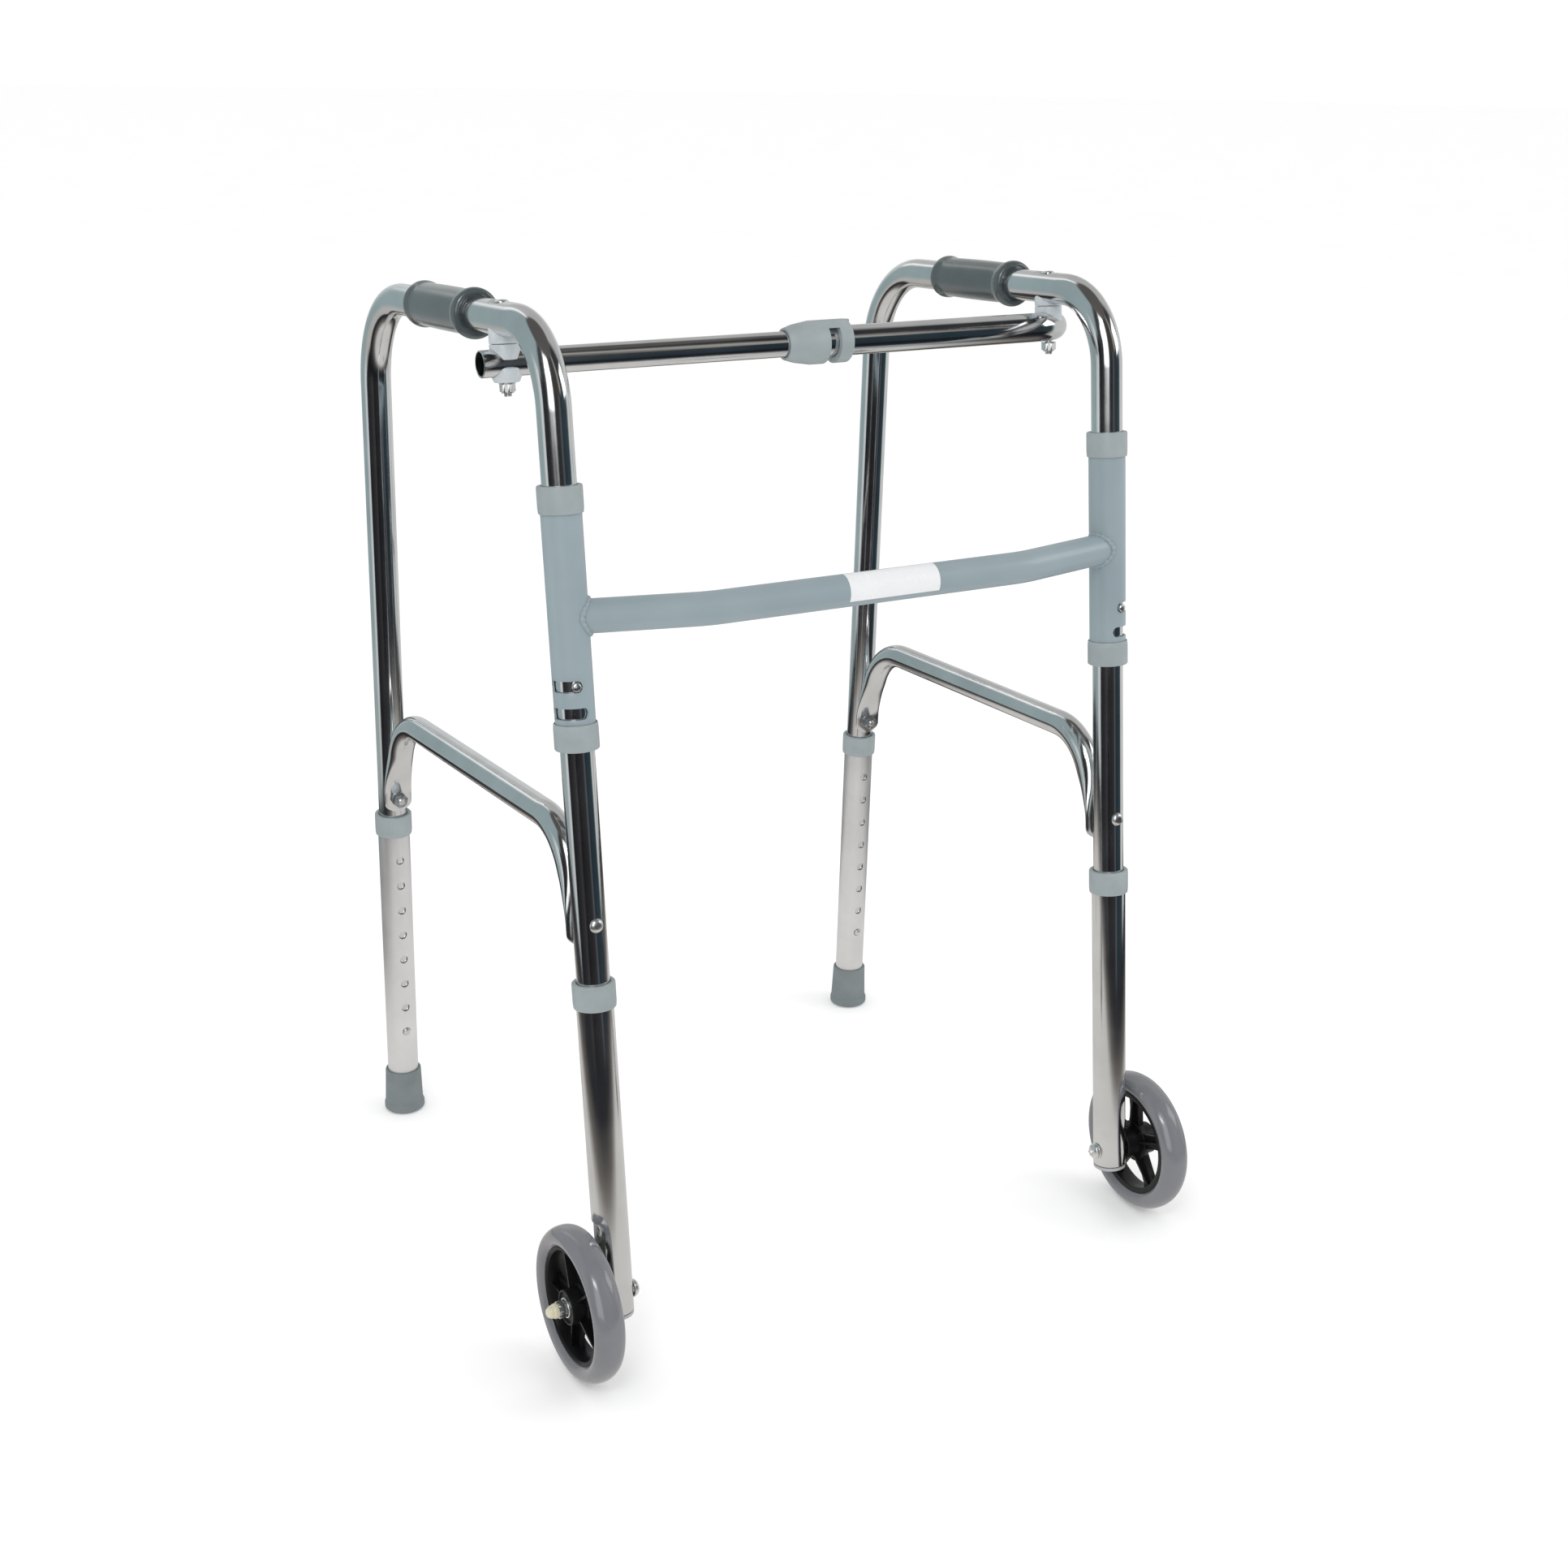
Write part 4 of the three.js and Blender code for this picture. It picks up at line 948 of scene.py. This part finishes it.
def wheel(side):
    name = NAMES[side]
    axle = leg_axis(side) @ shift(z=up_front(WHEEL_R)) @ turn(side * math.pi / 2, "Y")
    place = axle @ shift(z=WHEEL_OFFSET)
    add = adder(side, place, f"{name}_wheel")
    add("tyre_ring", tyre_shape(), TYRE, "tyre", sharp=60)
    rim, *parts = hub_shape(SPOKE_PHASE[side])
    hub = combined(to_object(f"{name}_spoked_hub", rim, place), "UNION", parts, place)
    soften(hub, 0.35, 40)
    finish_piece(hub, BLACK, f"{name}_wheel", f"{name}_wheel_hub")
    ring = revolve(rounded([(4.5, -17.4), (8.0, -17.4, 0.4), (8.0, BOSS_FACE + 0.7, 0.5),
                            (6.9, BOSS_FACE + 0.7, 0.3), (6.7, 9.6), (4.5, 9.6)], 3), 64)
    add("bearing", ring, CHROME, "wheel_bearing")
    seal = revolve(rounded([(4.6, 9.7), (6.6, 9.7), (6.6, 11.0, 0.2), (5.9, 11.4, 0.3),
                            (4.6, 11.0, 0.2)], 3), 48)
    add("bearing_seal", seal, BLACK)

    add = adder(side, axle, f"{name}_front_leg")
    seat, nut_seat = LEG_R + 1.2, WHEEL_OFFSET + BOSS_FACE + 1.6
    screw = screw_head(6.6, 4.2, seat) + disc(4, -seat - 0.1, nut_seat + 5, 0.3, sides=32)
    add("axle_screw", screw, CHROME, "axle_bolt", cuts=cross_recess(1.6, 1.2, 2.6, -seat - 4.2))
    add("axle_washer", disc(7.4, -seat, -LEG_R - 0.2, 0.4, 4.1), CHROME)
    add("hub_washer", disc(5.6, nut_seat - 1.4, nut_seat - 0.1, 0.2, 4.1), CHROME)
    add("wheel_nut", hexagon(12, 5.4, 4.1).moved(shift(z=nut_seat)), CHROME, "axle_nut")
    dome = smooth_line([(5.9, 0), (6.0, 1.4), (5.7, 3.0), (5.2, 4.1), (5.0, 5.0), (4.5, 6.5),
                        (3.5, 8.0), (2.0, 8.9), (0.001, 9.2)], 4)
    cap = revolve([(0, 0)] + dome[:-1] + [(0, 9.2)], 48)
    add("nut_cap", cap.moved(shift(z=nut_seat + 5.6)), CREAM)


# ---------- top bar ----------
SPAN = 2 * (LEG_X + PIVOT_REACH * math.sin(TOE_OUT))
FAR_SAG = OUTER_BAR_BEND - math.sqrt(OUTER_BAR_BEND ** 2 - (SPAN - OUTER_BAR_STRAIGHT) ** 2)
BAR_TURN = math.asin(FAR_SAG / SPAN)
FAR_PIVOT = vec(SPAN * math.cos(BAR_TURN), SPAN * math.sin(BAR_TURN), 0)
PIVOTS = {
    RIGHT: {"point": vec(0, 0, 0), "bar": "bar_inner", "spacer_from": 2.5,
            "nut_seat": -(INNER_BAR_R + 4.2)},
    LEFT: {"point": FAR_PIVOT, "bar": "bar_outer", "spacer_from": 3.5,
           "nut_seat": -(OUTER_BAR_R + 0.9)},
}


def bar_place():
    """x runs along the bar from the right pivot, z along the pivots' axes."""
    lean = shift(0, ORIGIN_Y, ORIGIN_Z) @ turn(-FRONT_LEAN, "X") @ Matrix.Scale(MM, 4)
    return lean @ shift(-SPAN / 2, PIVOT_REACH * math.cos(TOE_OUT), BAR_HEIGHT) @ turn(-BAR_TURN, "Z")


def outer_bar_line():
    reach = OUTER_BAR_BEND * math.tan(OUTER_BAR_TURN / 2)
    corner = vec(OUTER_BAR_STRAIGHT + reach, 0, 0)
    away = vec(math.cos(OUTER_BAR_TURN), math.sin(OUTER_BAR_TURN), 0)
    return [vec(OUTER_BAR_FROM, 0, 0), corner, corner + away * (reach + 1)]


def outer_bar(radius, bore, sides):
    return tube(outer_bar_line(), [OUTER_BAR_BEND], radius, bore, UP, sides)


def rod_along(radius, start, end):
    length = float(np.linalg.norm(end - start))
    return disc(radius, 0, length, 0.01).moved(along(start, end - start))


def seat_disc(low, high):
    """A nylon saddle or spacer: a turned disc with a soft rim."""
    return revolve(rounded([(3.4, low), (DISC_R, low, 0.5), (DISC_R, high, 0.5), (3.4, high)], 5), 72)


def pivot(side, place):
    """The nylon parts and the screw that join the bar to one handle."""
    ends, groove, frame_body = PIVOTS[side], GROOVES[side], f"{NAMES[side]}_side_frame"
    axis = leg_axis(side)
    handle = np.array(turn(FRONT_LEAN, "X") @ Vector(HANDLE_BACK))
    top = vec(0, PIVOT_REACH, HANDLE_HEIGHT)
    saddle = seat_disc(groove, HANDLE_HEIGHT - 2.5).moved(shift(y=PIVOT_REACH))
    add = adder(side, place, ends["bar"])
    add("handle_saddle", saddle, NYLON, "pivot_saddle", at=axis, rides=frame_body,
        cuts=[rod_along(TUBE_R + 0.1, top - handle * 40, top + handle * 40)])
    spacer = seat_disc(ends["spacer_from"], groove - GROOVE_GAP - BAR_HEIGHT)
    bar = near_bar_tool() if side == RIGHT else outer_bar(OUTER_BAR_R + 0.1, 0.5, 64)
    add("bar_spacer", spacer.moved(shift(*ends["point"])), NYLON, "pivot_spacer", cuts=[bar])

    seat, nut_seat, at_pivot = HANDLE_HEIGHT + 11.0, ends["nut_seat"], axis @ shift(y=PIVOT_REACH)
    if side == RIGHT:
        bottom, lower, nut_body = groove + 0.4, place @ shift(*ends["point"]), ends["bar"]
    else:
        bottom, lower, nut_body = BAR_HEIGHT + nut_seat - 9, at_pivot @ shift(z=BAR_HEIGHT), frame_body
    screw = pan_head(5.6, 2.5, seat) + disc(3, bottom, seat + 0.2, 0.2, sides=32)
    add("handle_screw", screw, CHROME, "pivot_bolt", at=at_pivot, rides=frame_body,
        cuts=cross_recess(1.4, 1.0, 2.2, seat + 2.5))
    add = adder(side, lower, nut_body)
    nut = hexagon(10.4, 5.6, 3.2).moved(shift(z=nut_seat - 6.5))
    collar = disc(4.7, nut_seat - 7.6, nut_seat - 6.3, 0.5, 3.2, 40)
    add("lock_nut", nut + collar, CHROME, "pivot_nut")
    add("lock_washer", disc(6.3, nut_seat - 0.8, nut_seat, 0.2, 3.2), CHROME)
    add("screw_tip", thread(3, nut_seat - 10, nut_seat - 6.6), CHROME)


def near_bar_tool():
    """The inner tube's outside at the right pivot, for cutting its groove."""
    return rod_along(INNER_BAR_R + 0.1, vec(-30, 0, 0), vec(30, 0, 0))


def bar_cup(place):
    """The cup that holds the inner tube from below at the right pivot."""
    under, top = -(INNER_BAR_R + 4), -3.5
    cup = revolve(rounded([(3.4, under), (9.4, under, 1.2), (11.0, under + 3.6, 1.5), (11.2, top, 0.6),
                           (3.4, top)], 5), 72)
    piece("right_bar_cup", cup, place, NYLON, "bar_inner", "right_lower_saddle", cuts=[near_bar_tool()])


def latch_shape():
    bore, nose = OUTER_BAR_R + 0.3, INNER_BAR_R + 0.35
    outline = [(nose, LATCH["from"]), (12.4, LATCH["from"], 0.8), (14.8, LATCH["from"] + 8, 6),
               (LATCH["outer"], LATCH["taper"], 8), (LATCH["outer"], LATCH["to"], 1.2),
               (bore, LATCH["to"], 0.4), (bore, LATCH["taper"] + 1), (nose, LATCH["taper"] + 1)]
    return revolve(rounded(outline, 5), 80).moved(along((0, 0, 0), (1, 0, 0), (0, 1, 0)))


def latch(place):
    width = LATCH["ring"] - LATCH["window"]
    middle = (LATCH["ring"] + LATCH["window"]) / 2
    window = block(width, 60, 40, (middle, 0, -20 + LATCH["outer"] * 0.62))
    piece("latch_housing", latch_shape(), place, GREY, "latch", "latch_sleeve",
          cuts=[window], bevel=0.3)
    lip = block(4.8, 7.5, 3.2, (LATCH["to"] + 0.6, 0, LATCH["outer"] - 1.9))
    piece("latch_lip", lip, place, GREY, "latch", bevel=1.0)


def spring_shape():
    """A round-wire coil with its end turns drawn together."""
    wire, radius, turns, steps = 0.6, INNER_BAR_R + 1.15, 4.5, 44
    low, high = LATCH["taper"] + 1.6, OUTER_BAR_FROM - 1.0
    skin = Skin()
    for t in np.arange(turns * steps + 1) / (turns * steps):
        along_bar = low + (high - low) * (t - 0.06 * math.sin(2 * math.pi * t))
        angle = 2 * math.pi * turns * t
        out = vec(0, math.cos(angle), math.sin(angle))
        centre = ACROSS * along_bar + out * radius
        skin.ring([centre + c * out + s * ACROSS for c, s in circle(wire, 10)])
    return skin.shape(closed=False)


def top_bar():
    place = bar_place()
    start, end = INNER_BAR_ENDS
    shape = tube([ACROSS * start, ACROSS * end], [], INNER_BAR_R, INNER_BAR_BORE, UP, 56)
    lock_hole = disc(3.6, 5, 20, 0.01, sides=28).moved(along((258.5, 0, 0), (0, -0.8, 0.6)))
    piece("inner_bar", shape, place, ALUMINIUM, "bar_inner", "bar_inner_tube", cuts=[lock_hole])
    shape = outer_bar(OUTER_BAR_R, OUTER_BAR_BORE, 56)
    piece("outer_bar", shape, place, ALUMINIUM, "bar_outer", "bar_outer_tube")
    spring = piece("coil_spring", spring_shape(), place, CHROME, "bar_outer", "latch_spring", sharp=80)
    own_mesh(spring)
    latch(place)
    for side in NAMES:
        pivot(side, place)
    bar_cup(place)


# ---------- studio ----------
def sheet(name, points, faces, build, unseen_by):
    """A flat mesh under the frame, part of the studio, that some kinds of ray don't meet."""
    mesh = bpy.data.meshes.new(name)
    mesh.from_pydata(points, [], faces)
    mesh.materials.append(build.material)
    obj = new_object(name, mesh)
    for kind in unseen_by:
        setattr(obj, f"visible_{kind}", False)


def studio_floor():
    """A pale disc out to 2 m and a ring round it, for light and shadow."""
    count, level = 96, -0.0005
    points = [(0, 0, level)] + [(x, y, level) for r in (2.0, 30.0) for x, y in circle(r, count)]
    faces = [[0, 1 + i, 1 + (i + 1) % count] for i in range(count)]
    faces += strip([[1 + i for i in range(count)], [1 + count + i for i in range(count)]], False)
    build = Surface("pale_floor")
    build.tint(build.clouds(3, 2, 0.5), (0.93, 0.93, 0.93), (0.95, 0.95, 0.95))
    build.set(Roughness=0.9, Emission_Color=(1, 1, 1, 1), Emission_Strength=0.14)
    sheet("studio_floor", points, faces, build, ["glossy"])


def reflected_floor():
    """What polished metal mirrors of the sheet the frame stands on: pale, and ending not far off."""
    reach, sides = 1.2, 64
    build = Surface("reflected_floor")
    distance = build.add("ShaderNodeVectorMath", operation="LENGTH")
    build.link(build.add("ShaderNodeTexCoord").outputs["Object"], distance.inputs[0])
    glow = build.shades(build.ranged(distance.outputs["Value"], 0, 1, (0, reach)), [
        (0.0, (0.66, 0.645, 0.62)), (0.48, (0.62, 0.60, 0.575)), (0.62, (0.16, 0.145, 0.13)),
        (0.8, (0.025, 0.026, 0.03))])
    build.link(glow, build.shader.inputs["Emission Color"])
    build.set(Roughness=1.0, Base_Color=(0, 0, 0, 1), Emission_Strength=1.0, Specular_IOR_Level=0.0)
    points = [(x, y, -0.001) for x, y in circle(reach, sides)]
    sheet("reflected_floor", points, [list(range(sides))], build, ["camera", "diffuse", "shadow"])


def studio_world():
    """White to look at and to light by; metal mirrors a room with a dark front and pale walls."""
    world = bpy.data.worlds.new("studio")
    bpy.context.scene.world = world
    world.use_nodes = True
    build = Graph(world.node_tree)
    rotate = build.add("ShaderNodeMapping")
    rotate.inputs["Rotation"].default_value = (0, 0, -CAMERA_AZIMUTH)
    build.link(build.add("ShaderNodeTexCoord").outputs["Generated"], rotate.inputs["Vector"])
    way = build.add("ShaderNodeSeparateXYZ")
    build.link(rotate.outputs["Vector"], way.inputs[0])
    front = build.add("ShaderNodeMath", operation="MULTIPLY")
    front.inputs[1].default_value = -1.0
    build.link(way.outputs["Y"], front.inputs[0])
    angle = build.add("ShaderNodeMath", operation="ARCTAN2")
    build.link(way.outputs["X"], angle.inputs[0])
    build.link(front.outputs[0], angle.inputs[1])
    around = build.ranged(angle.outputs[0], 0, 1, (-math.pi, math.pi))
    height = build.ranged(way.outputs["Z"], 0, 1, (-1, 1))

    unlit, full = (0, 0, 0), (1, 1, 1)
    pale, cream = (0.66, 0.67, 0.66), (0.5, 0.5, 0.49)
    teal, mist = (0.33, 0.41, 0.42), (0.70, 0.735, 0.74)
    dark, blue, black = (0.030, 0.030, 0.033), (0.020, 0.032, 0.042), (0.012, 0.012, 0.014)
    walls = build.shades(around, [
        (0.0, pale), (0.05, mist), (0.12, teal), (0.25, teal), (0.29, mist), (0.318, mist),
        (0.328, black), (0.42, dark), (0.46, (0.05, 0.048, 0.05)), (0.48, black), (0.60, dark),
        (0.63, (0.11, 0.115, 0.125)), (0.645, blue), (0.76, (0.03, 0.055, 0.065)), (0.785, pale),
        (1.0, pale)])
    ceiling = build.shades(around, [
        (0.0, cream), (0.075, (0.55, 0.55, 0.54)), (0.085, (1.1, 1.1, 1.1)),
        (0.10, (1.1, 1.1, 1.1)), (0.12, teal), (0.33, teal), (0.36, dark),
        (0.65, (0.05, 0.045, 0.04)), (0.67, (0.5, 0.48, 0.44)), (0.69, dark), (0.79, dark),
        (0.84, cream), (1.0, cream)])
    below = build.shades(around, [
        (0.0, (0.52, 0.5, 0.47)), (0.29, (0.5, 0.49, 0.47)), (0.335, black), (0.74, black),
        (0.80, (0.6, 0.6, 0.58)), (1.0, (0.52, 0.5, 0.47))])
    is_low = build.shades(height, [(0.28, full), (0.36, unlit)])
    is_high = build.shades(height, [(0.64, unlit), (0.68, full)])
    is_top = build.shades(height, [(0.92, unlit), (0.94, full)])
    lamp_sides = build.shades(around, [(0.425, unlit), (0.445, full), (0.52, full), (0.54, unlit)])
    lamp_foot = build.shades(height, [(0.505, unlit), (0.55, full)])

    seen = build.mixed(is_high, walls, ceiling)
    seen = build.mixed(build.mixed(lamp_foot, unlit, lamp_sides), seen, (2.0, 2.0, 2.0))
    seen = build.mixed(is_top, seen, (0.10, 0.095, 0.09))
    seen = build.mixed(is_low, seen, below)
    rays = build.add("ShaderNodeLightPath")
    plain = build.mixed(rays.outputs["Is Camera Ray"], full, (1.35, 1.35, 1.35))
    background = build.tree.nodes["Background"]
    build.link(build.mixed(rays.outputs["Is Glossy Ray"], plain, seen), background.inputs["Color"])
    background.inputs["Strength"].default_value = 0.94


def soft_light(name, position, target, size, power):
    data = bpy.data.lights.new(name, "AREA")
    data.shape, data.size, data.size_y, data.energy = "RECTANGLE", size[0], size[1], power
    obj, way = new_object(name, data), Vector(target) - Vector(position)
    obj.location, obj.rotation_euler = position, way.to_track_quat("-Z", "Y").to_euler()


CAMERA_AZIMUTH, CAMERA_ELEVATION, CAMERA_ROLL = -29.3191 * DEG, 20.2398 * DEG, 0.8801 * DEG
CAMERA_FROM_HINGE = (-0.80946, -1.262555, 0.99953)
CAMERA_LENS, CAMERA_SENSOR = 47.69, 36


def camera():
    data = bpy.data.cameras.new("camera")
    data.lens, data.sensor_width, data.clip_start = CAMERA_LENS, CAMERA_SENSOR, 0.02
    obj = new_object("camera", data)
    aim = turn(CAMERA_AZIMUTH, "Z") @ turn(math.pi / 2 - CAMERA_ELEVATION, "X") @ turn(CAMERA_ROLL, "Z")
    obj.matrix_world = shift(*CAMERA_FROM_HINGE) @ shift(y=ORIGIN_Y) @ aim
    bpy.context.scene.camera = obj


# ---------- build ----------
front_frame()
for each in NAMES:
    side_frame(each)
    front_leg(each)
    rear_leg(each)
    wheel(each)
top_bar()
slug = frame["nodes"]["bar_lock_slug"]
slug.data.materials.clear()
slug.data.materials.append(NYLON)

studio_floor()
reflected_floor()
studio_world()
soft_light("key", (-1.6, -1.9, 2.6), (0, 0, 0.4), (0.9, 0.6), 14)
soft_light("fill", (2.2, -1.2, 1.8), (0, 0, 0.4), (1.2, 1.2), 10)
bpy.context.scene.view_settings.view_transform = "Standard"
camera()
